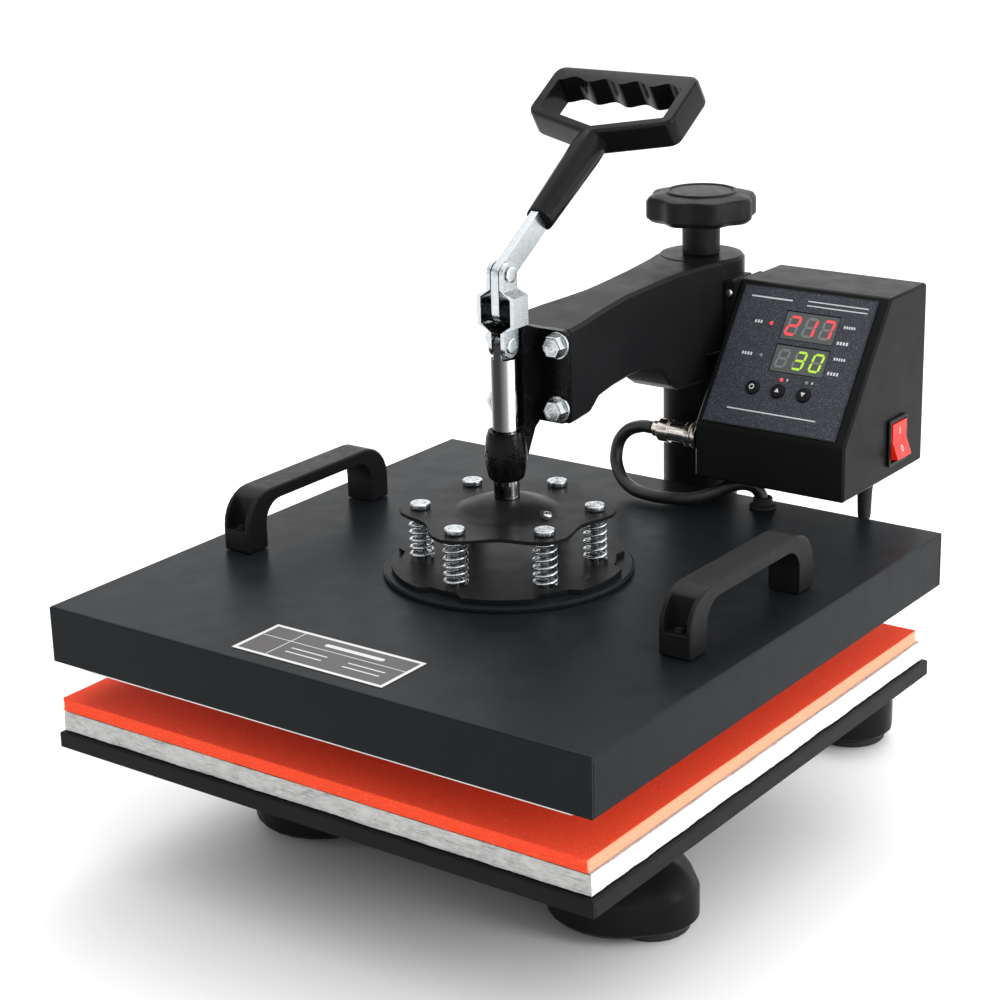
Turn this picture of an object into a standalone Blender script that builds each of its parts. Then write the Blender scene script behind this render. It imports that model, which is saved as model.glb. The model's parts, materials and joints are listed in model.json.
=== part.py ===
"""A swing-away heat press: a heated platen on a toggle lever, over a padded lower tray.

Metres, +Z up, standing on z = 0. Lengths along Y are measured from the press axis, the
line that the plunger slides on, and the whole assembly hangs from one empty that puts
the middle of its outline over the origin.
"""

from math import acos, asin, atan2, cos, pi, radians, sin, tan

import bmesh
import bpy
from mathutils import Matrix, Vector

GAP = 0.0003                      # between pieces that touch

# Lower half
MAT_SIZE = (0.3820, 0.3730)
MAT_MIDDLE = (-0.0052, -0.0050)
MAT_THICK = 0.008
FELT_SIZE = (0.3840, 0.3770)
FELT_MIDDLE = (-0.0034, -0.0038)
FELT_THICK = 0.0125
TRAY_WIDTH = 0.3878
TRAY_DEPTH = 0.3820
TRAY_MIDDLE = (-0.0030, -0.0034)
TRAY_LIP = 0.0099
SHEET = 0.0015
SEAM = 0.0004
TRAY_TOP = 0.0949
FOOT_RADIUS = 0.0237
FOOT_HEIGHT = 0.0055
FRONT_FOOT_X = 0.1344
REAR_FOOT_X = 0.1070
LEG_TAPER = 0.0210
BAR_WAIST = 0.55
LEG_TIP_RADIUS = 0.0286
FRONT_ROOT_RADIUS = 0.0437
REAR_ROOT_RADIUS = 0.0286
FRONT_FOOT_Y = -0.0519
REAR_FOOT_Y = 0.2466
LEG_TOP = 0.0425
SPINE_HALF_WIDTH = 0.026

# Post and arm
POST_Y = 0.224
COLUMN_RADIUS = 0.0252
COLUMN_TOP = 0.2675
SPINDLE_RADIUS = 0.020
SPINDLE_BORE = 0.0205
SCREW_RADIUS = 0.006
BOSS_RADIUS = 0.029
BOSS_BOTTOM = 0.268
BOSS_TOP = 0.3305
ARM_FRONT_Y = 0.0318
ARM_CORNER = 0.002
KNOB_RADIUS = 0.037
KNOB_BOTTOM = 0.353
KNOB_TOP = 0.372
KNOB_LOBES = 8
KNOB_WAVE = 0.0021

# Platen
PLATEN_X = (-0.1765, 0.1840)
PLATEN_Y = (-0.1955, 0.1860)
PLATEN_BOTTOM = 0.1405
COVER_WIDTH = 0.3855
COVER_DEPTH = 0.3949
COVER_BOTTOM = 0.143
COVER_TOP = 0.178
HUB_RADIUS = 0.0765
HUB_THICK = 0.0032
LOWER_PLATE_RADIUS = 0.0685
PLATE_THICK = 0.0028
STAR_MEAN_RADIUS = 0.060
STAR_WAVE = 0.006
STAR_BOTTOM = 0.2140
STAR_THICK = 0.0022
SPRING_COUNT = 6
SPRING_CIRCLE = 0.053
SPRING_RADIUS = 0.0067
SPRING_WIRE = 0.0010
SPRING_TURNS = 5.5
BOLT_SHANK = 0.003
BOLT_HEAD = 0.0064
HANDLE_X = 0.1605
HANDLE_WIDTH = 0.021
HANDLE_LENGTH = 0.139
HANDLE_MID_Y = 0.0015
HANDLE_HEIGHT = 0.0375
HANDLE_LEG = 0.0174
HANDLE_BAR = 0.008

# Toggle
ROD_RADIUS = 0.0079
ROD_SHOULDER = 0.3106
LOWER_PIN_Z = 0.3186
PIVOT_Z = 0.3391
UPPER_PIN_Z = 0.3615
PIN_RADIUS = 0.0032
STRAP_HALF_WIDTH = 0.00735
LEVER_HALF_THICK = 0.00275
LINK_INNER = 0.0033
LINK_OUTER = 0.006
LINK_BULGE_INNER = 0.01065
LINK_BULGE_OUTER = 0.0134
EAR_OUTER = 0.0092
LEVER_TILT = radians(56.9)
NECK_START = Vector((0, 0.0392, 0.3863))
NECK_LENGTH = 0.066
LOOP_HALF_WIDTH = 0.0525
LOOP_LENGTH = 0.0575
LOOP_SHOULDER = 0.0145
LOOP_THICK = 0.019
FLANGE_HALF_WIDTH = 0.0266
FLANGE_LOW = 0.2665
FLANGE_HIGH = 0.3240
FLANGE_BACK_Y = 0.0315
FLANGE_FRONT_Y = 0.0265
FLANGE_BOLT_X = 0.0208
FLANGE_BOLT_Z = (0.2755, 0.3150)

# Control box
BOX_LEFT = 0.035
BOX_RIGHT = 0.1432
BOX_WALL = 0.002
BOX_FRONT_Y = 0.159
BOX_TOP_FRONT_Y = 0.218
BOX_REAR_Y = 0.268
BOX_BOTTOM = 0.1989
BOX_KNEE = 0.2349
BOX_TOP = 0.3182
PANEL_LEFT = 0.005
PANEL_RIGHT = 0.1005
PANEL_LOW = 0.003
PANEL_HIGH = 0.0985
BUTTON_PLACES = (0.0333, 0.0517, 0.0701)
BUTTON_SLOPE = 0.0297
DISPLAY_LEFT = 0.0405
DISPLAY_RIGHT = 0.0785
DISPLAY_SLOPES = ((0.0429, 0.0610), (0.0652, 0.0842))
SWITCH_Y = 0.2293
SWITCH_Z = 0.2226
SWITCH_HEIGHT = 0.031
SWITCH_WIDTH = 0.0255
ROCKER_TILT = radians(10)
CONNECTOR_Y = 0.167
CONNECTOR_Z = 0.224

# Cables
HEATER_CABLE_RADIUS = 0.00425
HEATER_ROUTE = (
    (-0.0003, 0.167, 0.2240), (-0.0120, 0.1670, 0.2232), (-0.0240, 0.1662, 0.2165),
    (-0.0285, 0.1640, 0.2050), (-0.0240, 0.1590, 0.1930), (-0.0120, 0.1540, 0.1852),
    (0.0030, 0.1510, 0.1832), (0.0200, 0.1520, 0.1832), (0.0340, 0.1565, 0.1840),
    (0.0470, 0.1640, 0.1880), (0.0580, 0.1715, 0.1935), (0.0675, 0.1780, 0.1925),
    (0.0720, 0.1812, 0.1860), (0.0730, 0.1820, 0.1785),
)
MAINS_RADIUS = 0.0035
GLAND_X = 0.130
GLAND_Y = 0.214
GLAND_LENGTH = 0.027
MAINS_ROUTE = (
    (0.130, 0.2140, 0.1716), (0.130, 0.2142, 0.1580), (0.1295, 0.2170, 0.1420),
    (0.1280, 0.2245, 0.1220), (0.1255, 0.2360, 0.1010), (0.1225, 0.2500, 0.0790),
    (0.1190, 0.2650, 0.0560), (0.1150, 0.2800, 0.0340), (0.1100, 0.2950, 0.0155),
    (0.1030, 0.3110, 0.0055), (0.0930, 0.3290, 0.0037), (0.0780, 0.3480, 0.0037),
    (0.0590, 0.3660, 0.0037), (0.0390, 0.3785, 0.0037), (0.0180, 0.3870, 0.0037),
    (-0.0030, 0.3910, 0.0037), (-0.0232, 0.3915, 0.0037),
)
COIL_CENTRE = (-0.050, 0.4370)
COIL_INNER = 0.028
COIL_OUTER = 0.049
COIL_HEIGHT = 0.0142
PLUG_CENTRE = (-0.1155, 0.3915)


# ---- Materials ----------------------------------------------------------------------

def material(name, colour, roughness, metallic=0.0):
    """A plain Principled material."""
    made = bpy.data.materials.new(name)
    made.use_nodes = True
    shader = made.node_tree.nodes["Principled BSDF"]
    shader.inputs["Base Color"].default_value = (*colour, 1.0)
    shader.inputs["Roughness"].default_value = roughness
    shader.inputs["Metallic"].default_value = metallic
    return made


def all_materials():
    """Every finish of the press, by slot name."""
    return {
        "black_powder": material("black_powder", (0.022, 0.024, 0.026), 0.45),
        "cover_paint": material("cover_paint", (0.035, 0.040, 0.046), 0.42),
        "black_casting": material("black_casting", (0.012, 0.012, 0.013), 0.18),
        "zinc_steel": material("zinc_steel", (0.72, 0.74, 0.76), 0.28, 1.0),
        "chrome_rod": material("chrome_rod", (0.85, 0.86, 0.88), 0.07, 1.0),
        "plate_aluminium": material("plate_aluminium", (0.80, 0.81, 0.82), 0.35, 1.0),
        "nickel": material("nickel", (0.66, 0.62, 0.56), 0.25, 1.0),
        "gloss_black_plastic": material("gloss_black_plastic", (0.010, 0.010, 0.011), 0.15),
        "matt_black_plastic": material("matt_black_plastic", (0.018, 0.018, 0.019), 0.50),
        "panel_film": material("panel_film", (0.020, 0.021, 0.023), 0.30),
        "switch_red": material("switch_red", (0.75, 0.03, 0.02), 0.30),
        "black_rubber": material("black_rubber", (0.015, 0.015, 0.016), 0.70),
        "silicone_foam": material("silicone_foam", (0.80, 0.10, 0.035), 0.80),
        "grey_felt": material("grey_felt", (0.62, 0.63, 0.64), 0.95),
        "circuit_board": material("circuit_board", (0.02, 0.02, 0.02), 0.40),
        "cable_jacket": material("cable_jacket", (0.012, 0.012, 0.013), 0.45),
    }


# ---- Outlines -----------------------------------------------------------------------

def arc(centre, radius, start, end, steps):
    """Points on an arc, its two ends included."""
    turns = [start + (end - start) * i / steps for i in range(steps + 1)]
    return [(centre[0] + radius * cos(a), centre[1] + radius * sin(a)) for a in turns]


def rounded_outline(corners, radii, steps=4):
    """A polygon, given counter-clockwise, with each corner rounded by its own radius."""
    made = []
    for i, corner in enumerate(corners):
        here = Vector(corner)
        back = (Vector(corners[i - 1]) - here).normalized()
        ahead = (Vector(corners[(i + 1) % len(corners)]) - here).normalized()
        half = back.angle(ahead) / 2
        if radii[i] == 0:
            made.append(tuple(here))
            continue
        centre = here + (back + ahead).normalized() * radii[i] / sin(half)
        first = here + back * radii[i] / tan(half) - centre
        last = here + ahead * radii[i] / tan(half) - centre
        start = atan2(first.y, first.x)
        sweep = first.angle_signed(last)
        made += arc(centre, radii[i], start, start - sweep, steps)
    return made


def strap_outline(path, half_width, steps=8):
    """The edge of a flat bar with round ends that follows a path of two or three points."""
    path = [Vector(point) for point in path]
    if len(path) == 2:
        way = path[1] - path[0]
        along = atan2(way.y, way.x)
        return (arc(path[1], half_width, along - pi / 2, along + pi / 2, steps)
                + arc(path[0], half_width, along + pi / 2, along + 3 * pi / 2, steps))
    first, second = path[1] - path[0], path[2] - path[1]
    before, after = atan2(first.y, first.x), atan2(second.y, second.x)
    # This bar turns to the right, so its left side takes the arc and its right side the mitre.
    middle = (before + after) / 2
    mitre = path[1] + Vector((sin(middle), -cos(middle))) * half_width / cos((before - after) / 2)
    return (arc(path[0], half_width, before + pi / 2, before + 3 * pi / 2, steps)
            + [tuple(mitre)]
            + arc(path[2], half_width, after - pi / 2, after + pi / 2, steps)
            + arc(path[1], half_width, after + pi / 2, before + pi / 2, steps))


def wave_outline(mean, wave, lobes, phase, points):
    """A round outline that swells and shrinks once for each lobe."""
    turns = [2 * pi * i / points for i in range(points)]
    return [((mean + wave * cos(lobes * (a - phase))) * cos(a),
             (mean + wave * cos(lobes * (a - phase))) * sin(a)) for a in turns]


# ---- Solids -------------------------------------------------------------------------

def closed(bm):
    """Every face turned to point outwards."""
    bmesh.ops.recalc_face_normals(bm, faces=bm.faces)
    return bm


def band(bm, first, second):
    """Faces between two rings of vertices, one of which may be a single point."""
    count = max(len(first), len(second))
    for i in range(count):
        j = (i + 1) % count
        corners = (first[i % len(first)], first[j % len(first)],
                   second[j % len(second)], second[i % len(second)])
        bm.faces.new(list(dict.fromkeys(corners)))


def turned(profile, segments=24, ring=False):
    """A turned solid about Z. A ring's profile closes on itself, clear of the axis."""
    bm = bmesh.new()
    rings = []
    for radius, z in profile:
        turns = [2 * pi * i / segments for i in range(segments if radius > 0 else 1)]
        rings.append([bm.verts.new((radius * cos(a), radius * sin(a), z)) for a in turns])
    for first, second in zip(rings, rings[1:]):
        band(bm, first, second)
    if ring:
        band(bm, rings[-1], rings[0])
    return closed(bm)


def loft(rings):
    """A solid through rings of the same number of points, with flat ends."""
    bm = bmesh.new()
    made = [[bm.verts.new(point) for point in ring] for ring in rings]
    for first, second in zip(made, made[1:]):
        band(bm, first, second)
    bm.faces.new(made[0])
    bm.faces.new(made[-1])
    return closed(bm)


def prism(outline, low, high, axis="Z"):
    """An outline pushed along an axis: (x, y) along Z, (y, z) along X, (x, z) along Y."""
    place = {
        "X": lambda point, level: (level, *point),
        "Y": lambda point, level: (point[0], level, point[1]),
        "Z": lambda point, level: (*point, level),
    }[axis]
    return loft([[place(point, level) for point in outline] for level in (low, high)])


def block(x, y, z):
    """A box between two values on each axis."""
    return prism([(x[0], y[0]), (x[1], y[0]), (x[1], y[1]), (x[0], y[1])], *z)


def rounded(bm, width, segments=1, sharp=30):
    """The solid with the edges that are sharper than an angle bevelled."""
    edges = [edge for edge in bm.edges if edge.calc_face_angle(0) > radians(sharp)]
    bmesh.ops.bevel(bm, geom=edges, offset=width, segments=segments, profile=0.5,
                    affect="EDGES", clamp_overlap=True)
    return bm


def moved(bm, x=0, y=0, z=0):
    """The solid shifted."""
    bmesh.ops.translate(bm, vec=(x, y, z), verts=bm.verts)
    return bm


def laid(bm, matrix):
    """The solid put through a rotation and shift."""
    bmesh.ops.transform(bm, matrix=matrix, verts=bm.verts)
    return bm


def along(axis, turn_about_z=0):
    """A rotation that lays a solid's Z along another axis."""
    return Vector(axis).to_track_quat("Z", "Y").to_matrix().to_4x4() @ Matrix.Rotation(
        turn_about_z, 4, "Z")


def temporary(bm, name):
    """A solid as an object, for a Boolean, in triangles because those are always flat."""
    bmesh.ops.triangulate(bm, faces=bm.faces)
    mesh = bpy.data.meshes.new(name)
    bm.to_mesh(mesh)
    bm.free()
    made = bpy.data.objects.new(name, mesh)
    bpy.context.scene.collection.objects.link(made)
    return made


def boolean(bm, tool, operation):
    """One solid joined with another, or cut by it."""
    target = temporary(bm, "target")
    other = temporary(tool, "tool")
    step = target.modifiers.new("step", "BOOLEAN")
    step.operation = operation
    step.object = other
    made = bmesh.new()
    evaluated = target.evaluated_get(bpy.context.evaluated_depsgraph_get())
    made.from_mesh(evaluated.to_mesh())
    evaluated.to_mesh_clear()
    for helper in (target, other):
        mesh = helper.data
        bpy.data.objects.remove(helper)
        bpy.data.meshes.remove(mesh)
    return made


def joined(bm, *tools):
    """The solid with others joined on."""
    for tool in tools:
        bm = boolean(bm, tool, "UNION")
    return bm


def cut(bm, *tools):
    """The solid with others cut away."""
    for tool in tools:
        bm = boolean(bm, tool, "DIFFERENCE")
    return bm


# ---- Placing ------------------------------------------------------------------------

class Group:
    """Pieces that move together, under an empty on their joint's axis."""

    def __init__(self, name, home, parent=None):
        self.home = Vector(home)
        self.empty = bpy.data.objects.new(name, None)
        self.empty.empty_display_size = 0.02
        bpy.context.scene.collection.objects.link(self.empty)
        if parent:
            self.empty.parent = parent.empty
            self.empty.location = self.home - parent.home

    def hold(self, name, data, finish):
        """An object of this group, from data made about the group's home."""
        made = bpy.data.objects.new(name, data)
        data.materials.append(finish)
        made.parent = self.empty
        bpy.context.scene.collection.objects.link(made)
        return made

    def add(self, name, bm, finish, crease=35):
        """A solid, made where it stands, as one of the group's pieces."""
        moved(bm, *-self.home)
        mesh = bpy.data.meshes.new(name)
        bm.to_mesh(mesh)
        bm.free()
        mesh.shade_smooth()
        mesh.set_sharp_from_angle(angle=radians(crease))
        return self.hold(name, mesh, finish)

    def add_tube(self, name, points, radius, finish, bevel_resolution):
        """A round tube along points, as one of the group's pieces."""
        curve = bpy.data.curves.new(name, "CURVE")
        curve.dimensions = "3D"
        curve.bevel_depth = radius
        curve.bevel_resolution = bevel_resolution
        curve.use_fill_caps = True
        spline = curve.splines.new("POLY")
        spline.points.add(len(points) - 1)
        for point, place in zip(spline.points, points):
            point.co = (*(Vector(place) - self.home), 1.0)
        spline.use_smooth = True
        return self.hold(name, curve, finish)


def smooth_route(points, steps):
    """Points on a smooth curve through hand-placed ones, with steps between each two."""
    points = [Vector(point) for point in points]
    ends = [2 * points[0] - points[1], *points, 2 * points[-1] - points[-2]]
    made = []
    for a, b, c, d in zip(ends, ends[1:], ends[2:], ends[3:]):
        for i in range(steps):
            t = i / steps
            made.append(0.5 * (2 * b + (c - a) * t + (2 * a - 5 * b + 4 * c - d) * t ** 2
                               + (3 * b - a - 3 * c + d) * t ** 3))
    return made + [points[-1]]


# ---- Base and lower table -----------------------------------------------------------

def bar_outline(foot_x, root_radius, shrink):
    """A cross bar seen from above: a root and a tip of its own radius over each foot."""
    root, tip = root_radius - shrink, LEG_TIP_RADIUS - shrink
    inner_x = foot_x - LEG_TAPER
    tangent = acos((root_radius - LEG_TIP_RADIUS) / LEG_TAPER)
    waist = pi - asin(BAR_WAIST)
    right = (arc((inner_x, 0), root, -waist, -tangent, 7)
             + arc((foot_x, 0), tip, -tangent, tangent, 9)
             + arc((inner_x, 0), root, tangent, waist, 7))
    return right + [(-x, -y) for x, y in right]


def cross_bar(foot_x, y, root_radius):
    """One cross bar, with a chamfered foot edge, a short wall and a sloping top."""
    levels = ((0.0025, FOOT_HEIGHT + GAP), (0, 0.0085), (0, 0.0250), (0.0015, 0.0288),
              (0.0050, 0.0328), (0.0105, 0.0375), (0.0180, LEG_TOP))
    return loft([[(x, y + across, z) for x, across in bar_outline(foot_x, root_radius, shrink)]
                 for shrink, z in levels])


def base_frame():
    """The cast base: two cross bars, a spine, the tray's pedestal and the post's socket."""
    spine = rounded(block((-SPINE_HALF_WIDTH, SPINE_HALF_WIDTH),
                          (FRONT_FOOT_Y + 0.01, REAR_FOOT_Y - 0.01), (0.0115, 0.0385)), 0.003)
    under_tray = TRAY_TOP - SHEET - GAP
    pedestal = turned([(0, 0.020), (0.040, 0.020), (0.030, 0.060), (0.030, 0.080),
                       (0.062, 0.087), (0.062, under_tray), (0, under_tray)], 24)
    socket = moved(turned([(0, 0.0112), (0.038, 0.0112), (0.038, 0.040), (0.036, 0.076),
                           (0.034, 0.078), (0, 0.078)], 24), 0, POST_Y)
    bore = moved(turned([(0, 0.0303), (COLUMN_RADIUS + GAP, 0.0303),
                         (COLUMN_RADIUS + GAP, 0.1), (0, 0.1)], 28), 0, POST_Y)
    bars = [cross_bar(FRONT_FOOT_X, FRONT_FOOT_Y, FRONT_ROOT_RADIUS),
            cross_bar(REAR_FOOT_X, REAR_FOOT_Y, REAR_ROOT_RADIUS)]
    return cut(joined(*bars, spine, pedestal, socket), bore)


def foot():
    """A rubber puck."""
    return turned([(0, 0), (FOOT_RADIUS - 0.001, 0), (FOOT_RADIUS, 0.001),
                   (FOOT_RADIUS, FOOT_HEIGHT - 0.001), (FOOT_RADIUS - 0.001, FOOT_HEIGHT),
                   (0, FOOT_HEIGHT)])


def column():
    """The post: a tube with a threaded collar inside for the lift screw."""
    thread = SCREW_RADIUS + 0.0005
    outer = [(COLUMN_RADIUS, 0.0306), (COLUMN_RADIUS, COLUMN_TOP - 0.001),
             (COLUMN_RADIUS - 0.001, COLUMN_TOP)]
    inner = [(SPINDLE_BORE, COLUMN_TOP), (SPINDLE_BORE, 0.165), (thread, 0.165),
             (thread, 0.150), (SPINDLE_BORE, 0.150), (SPINDLE_BORE, 0.0306)]
    return moved(turned(outer + inner, 28, ring=True), 0, POST_Y)


def folded_tray(width, depth, top, lip):
    """A sheet with four lips folded down and a fine seam beside each corner."""
    outside = block((-width / 2, width / 2), (-depth / 2, depth / 2), (top - lip, top))
    rounded_top = [edge for edge in outside.edges
                   if all(vert.co.z > top - GAP for vert in edge.verts)]
    bmesh.ops.bevel(outside, geom=rounded_top, offset=0.0012, segments=2, profile=0.5,
                    affect="EDGES")
    x, y = width / 2 - SHEET, depth / 2 - SHEET
    inside = block((-x, x), (-y, y), (top - lip - 0.01, top - SHEET))
    seams = [block((sx * (x - SEAM), sx * (x + 0.01)), (sy * (y - SEAM), sy * (y + 0.0001)),
                   (top - lip - 0.01, top - 0.0035)) for sx in (-1, 1) for sy in (-1, 1)]
    return cut(outside, inside, *[closed(seam) for seam in seams])


def slab(size, middle, low, high, edge):
    """A flat pad with its edges just broken."""
    x, y = size[0] / 2, size[1] / 2
    return moved(rounded(block((-x, x), (-y, y), (low, high)), edge), *middle)


def add_lower_half(root, finishes):
    root.add("base_frame", base_frame(), finishes["black_powder"])
    for name, x, y in (("foot_front_left", -FRONT_FOOT_X, FRONT_FOOT_Y),
                       ("foot_front_right", FRONT_FOOT_X, FRONT_FOOT_Y),
                       ("foot_rear_left", -REAR_FOOT_X, REAR_FOOT_Y),
                       ("foot_rear_right", REAR_FOOT_X, REAR_FOOT_Y)):
        root.add(name, moved(foot(), x, y), finishes["black_rubber"])
    root.add("column", column(), finishes["black_powder"])
    tray = moved(folded_tray(TRAY_WIDTH, TRAY_DEPTH, TRAY_TOP, TRAY_LIP), *TRAY_MIDDLE)
    root.add("lower_tray", tray, finishes["black_powder"])
    felt_low = TRAY_TOP + GAP
    felt_high = felt_low + FELT_THICK
    root.add("felt_pad", slab(FELT_SIZE, FELT_MIDDLE, felt_low, felt_high, 0.0008),
             finishes["grey_felt"])
    mat_low = felt_high + GAP
    root.add("silicone_mat", slab(MAT_SIZE, MAT_MIDDLE, mat_low, mat_low + MAT_THICK, 0.0006),
             finishes["silicone_foam"])


# ---- Arm and lift -------------------------------------------------------------------

def arm_section(y, half_width, low, high):
    """A cross-section of the arm with broken corners."""
    c = ARM_CORNER
    return [(half_width - c, y, low), (half_width, y, low + c), (half_width, y, high - c),
            (half_width - c, y, high), (c - half_width, y, high), (-half_width, y, high - c),
            (-half_width, y, low + c), (c - half_width, y, low)]


def press_arm():
    """The cast arm: a waisted beam from the bracket's face to the boss over the post."""
    stations = ((ARM_FRONT_Y, 0.0266, 0.2655, 0.3240), (0.040, 0.0258, 0.2655, 0.3243),
                (0.056, 0.0240, 0.2660, 0.3250), (0.062, 0.0230, 0.2690, 0.3254),
                (0.068, 0.0222, 0.2725, 0.3258), (0.090, 0.0190, 0.2740, 0.3266),
                (0.110, 0.0167, 0.2745, 0.3274), (0.131, 0.0170, 0.2750, 0.3282),
                (0.148, 0.0176, 0.2700, 0.3290), (0.158, 0.0180, 0.2580, 0.3294),
                (0.168, 0.0188, 0.2520, 0.3298), (0.190, 0.0220, 0.2520, 0.3301),
                (0.1938, 0.0226, 0.2535, 0.3301), (0.1942, 0.0227, 0.2690, 0.3301),
                (0.208, 0.026, 0.2692, 0.3301))
    beam = loft([arm_section(*station) for station in stations])
    boss = moved(turned([(0, BOSS_BOTTOM), (BOSS_RADIUS, BOSS_BOTTOM),
                         (BOSS_RADIUS, BOSS_TOP - 0.002), (BOSS_RADIUS - 0.002, BOSS_TOP),
                         (0, BOSS_TOP)], 32), 0, POST_Y)
    lug = rounded(block((0.010, 0.0314), (0.2123, 0.238), (0.274, 0.318)), 0.001)
    bore = moved(turned([(0, 0.24), (SPINDLE_BORE, 0.24), (SPINDLE_BORE, 0.318), (0, 0.318)],
                        28), 0, POST_Y)
    screw_way = moved(turned([(0, 0.31), (SCREW_RADIUS + 0.0006, 0.31),
                              (SCREW_RADIUS + 0.0006, 0.34), (0, 0.34)], 16), 0, POST_Y)
    flange_holes = [laid(turned([(0, -0.005), (BOLT_SHANK + GAP, -0.005),
                               (BOLT_SHANK + GAP, 0.0104), (0, 0.0104)], 12),
                       Matrix.Translation((x, ARM_FRONT_Y, z)) @ along((0, 1, 0)))
                  for x in (-FLANGE_BOLT_X, FLANGE_BOLT_X) for z in FLANGE_BOLT_Z]
    return cut(joined(beam, boss, lug), bore, screw_way, *flange_holes)


def lift_spindle():
    """The tube in the post that the arm swings on."""
    inner = SCREW_RADIUS + 0.0025
    low, high = 0.170, 0.3177
    return moved(turned([(SPINDLE_RADIUS, low), (SPINDLE_RADIUS, high), (inner, high),
                         (inner, low)], 28, ring=True), 0, POST_Y)


def pressure_knob():
    """The lobed hand knob with its stem, bored for the screw's head end."""
    shape = ((0.90, KNOB_BOTTOM), (1.0, KNOB_BOTTOM + 0.003), (1.0, 0.3665), (0.95, 0.3695),
             (0.78, 0.3712), (0.40, KNOB_TOP))
    lobed = wave_outline(KNOB_RADIUS - KNOB_WAVE, KNOB_WAVE, KNOB_LOBES, 0, 80)
    head = loft([[(scale * x, scale * y, z) for x, y in lobed] for scale, z in shape])
    low = BOSS_TOP + GAP
    stem = turned([(0, low), (0.0125, low), (0.0125, 0.350), (0.016, 0.3545), (0, 0.3545)], 24)
    bore = turned([(0, 0.32), (SCREW_RADIUS + GAP, 0.32), (SCREW_RADIUS + GAP, 0.3605),
                   (0, 0.3605)], 16)
    return moved(cut(joined(head, stem), bore), 0, POST_Y)


def lift_screw():
    """The long screw from the knob down through the spindle into the post's collar."""
    return moved(turned([(0, 0.140), (0.0048, 0.140), (SCREW_RADIUS, 0.142),
                         (SCREW_RADIUS, 0.3602), (0, 0.3602)], 16), 0, POST_Y)


# ---- Bracket and toggle -------------------------------------------------------------

def pin_hole(z, radius, reach=0.03):
    """A cutter along X through the toggle, on the press axis."""
    return laid(turned([(0, -reach), (radius, -reach), (radius, reach), (0, reach)], 20),
                Matrix.Translation((0, 0, z)) @ along((1, 0, 0)))


def toggle_bracket():
    """The cast bracket: bolted flange, web, plunger sleeve and the two pivot ears."""
    corners = [(-FLANGE_HALF_WIDTH, FLANGE_LOW), (FLANGE_HALF_WIDTH, FLANGE_LOW),
               (FLANGE_HALF_WIDTH, FLANGE_HIGH), (-FLANGE_HALF_WIDTH, FLANGE_HIGH)]
    flange = prism(rounded_outline(corners, (0.004,) * 4, 3), FLANGE_FRONT_Y, FLANGE_BACK_Y, "Y")
    web = prism([(0.005, 0.2395), (0.0095, 0.2440), (0.0200, 0.2640), (0.0290, 0.2700),
                 (0.0290, 0.3225), (0.0125, 0.3290), (0.0118, 0.3420), (0.0088, 0.3430),
                 (0.0088, 0.2700), (0.005, 0.2640)], -0.008, 0.008, "X")
    ears = prism(strap_outline([(0, PIVOT_Z), (0.0050, PIVOT_Z)], 0.007),
                 -EAR_OUTER, EAR_OUTER, "X")
    barrel = turned([(0, 0.236), (0.0099, 0.236), (0.0112, 0.2375), (0.0131, 0.250),
                     (0.0120, 0.262), (0.0106, 0.266), (0, 0.266)], 24)
    rod_way = turned([(0, 0.22), (ROD_RADIUS + GAP, 0.22), (ROD_RADIUS + GAP, 0.329),
                      (0, 0.329)], 24)
    slot = block((-LINK_INNER, LINK_INNER), (-0.01, 0.0105), (0.322, 0.350))
    flange_holes = [laid(turned([(0, -0.01), (BOLT_SHANK + GAP, -0.01), (BOLT_SHANK + GAP, 0.01),
                               (0, 0.01)], 12),
                       Matrix.Translation((x, FLANGE_FRONT_Y, z)) @ along((0, 1, 0)))
                  for x in (-FLANGE_BOLT_X, FLANGE_BOLT_X) for z in FLANGE_BOLT_Z]
    return cut(joined(flange, web, ears, barrel), rod_way, slot,
               pin_hole(PIVOT_Z, 0.0038), *flange_holes)


def flange_bolt(x, z):
    """A hexagon bolt with a washer face, its head towards the front."""
    washer_back = FLANGE_BACK_Y - FLANGE_FRONT_Y + 0.0001
    shank_end = washer_back + 0.0098
    shank = turned([(0, -0.0018), (0.0083, -0.0018), (0.0083, -GAP), (BOLT_SHANK, -GAP),
                    (BOLT_SHANK, shank_end), (0, shank_end)], 24)
    head = turned([(0, -0.008), (0.0062, -0.008), (0.0073, -0.0072), (0.0073, -0.001),
                   (0, -0.001)], 6)
    return laid(joined(shank, head), Matrix.Translation((x, FLANGE_FRONT_Y, z)) @ along((0, 1, 0)))


def rivet(z, radius, head_inner, head_outer, head_radius):
    """A headed pin along X on the press axis."""
    half = [(0, head_outer), (head_radius * 0.7, head_outer), (head_radius, head_outer - 0.0005),
            (head_radius, head_inner), (radius, head_inner)]
    profile = half + [(r, -x) for r, x in reversed(half)]
    return laid(turned(profile, 16), Matrix.Translation((0, 0, z)) @ along((1, 0, 0)))


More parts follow.
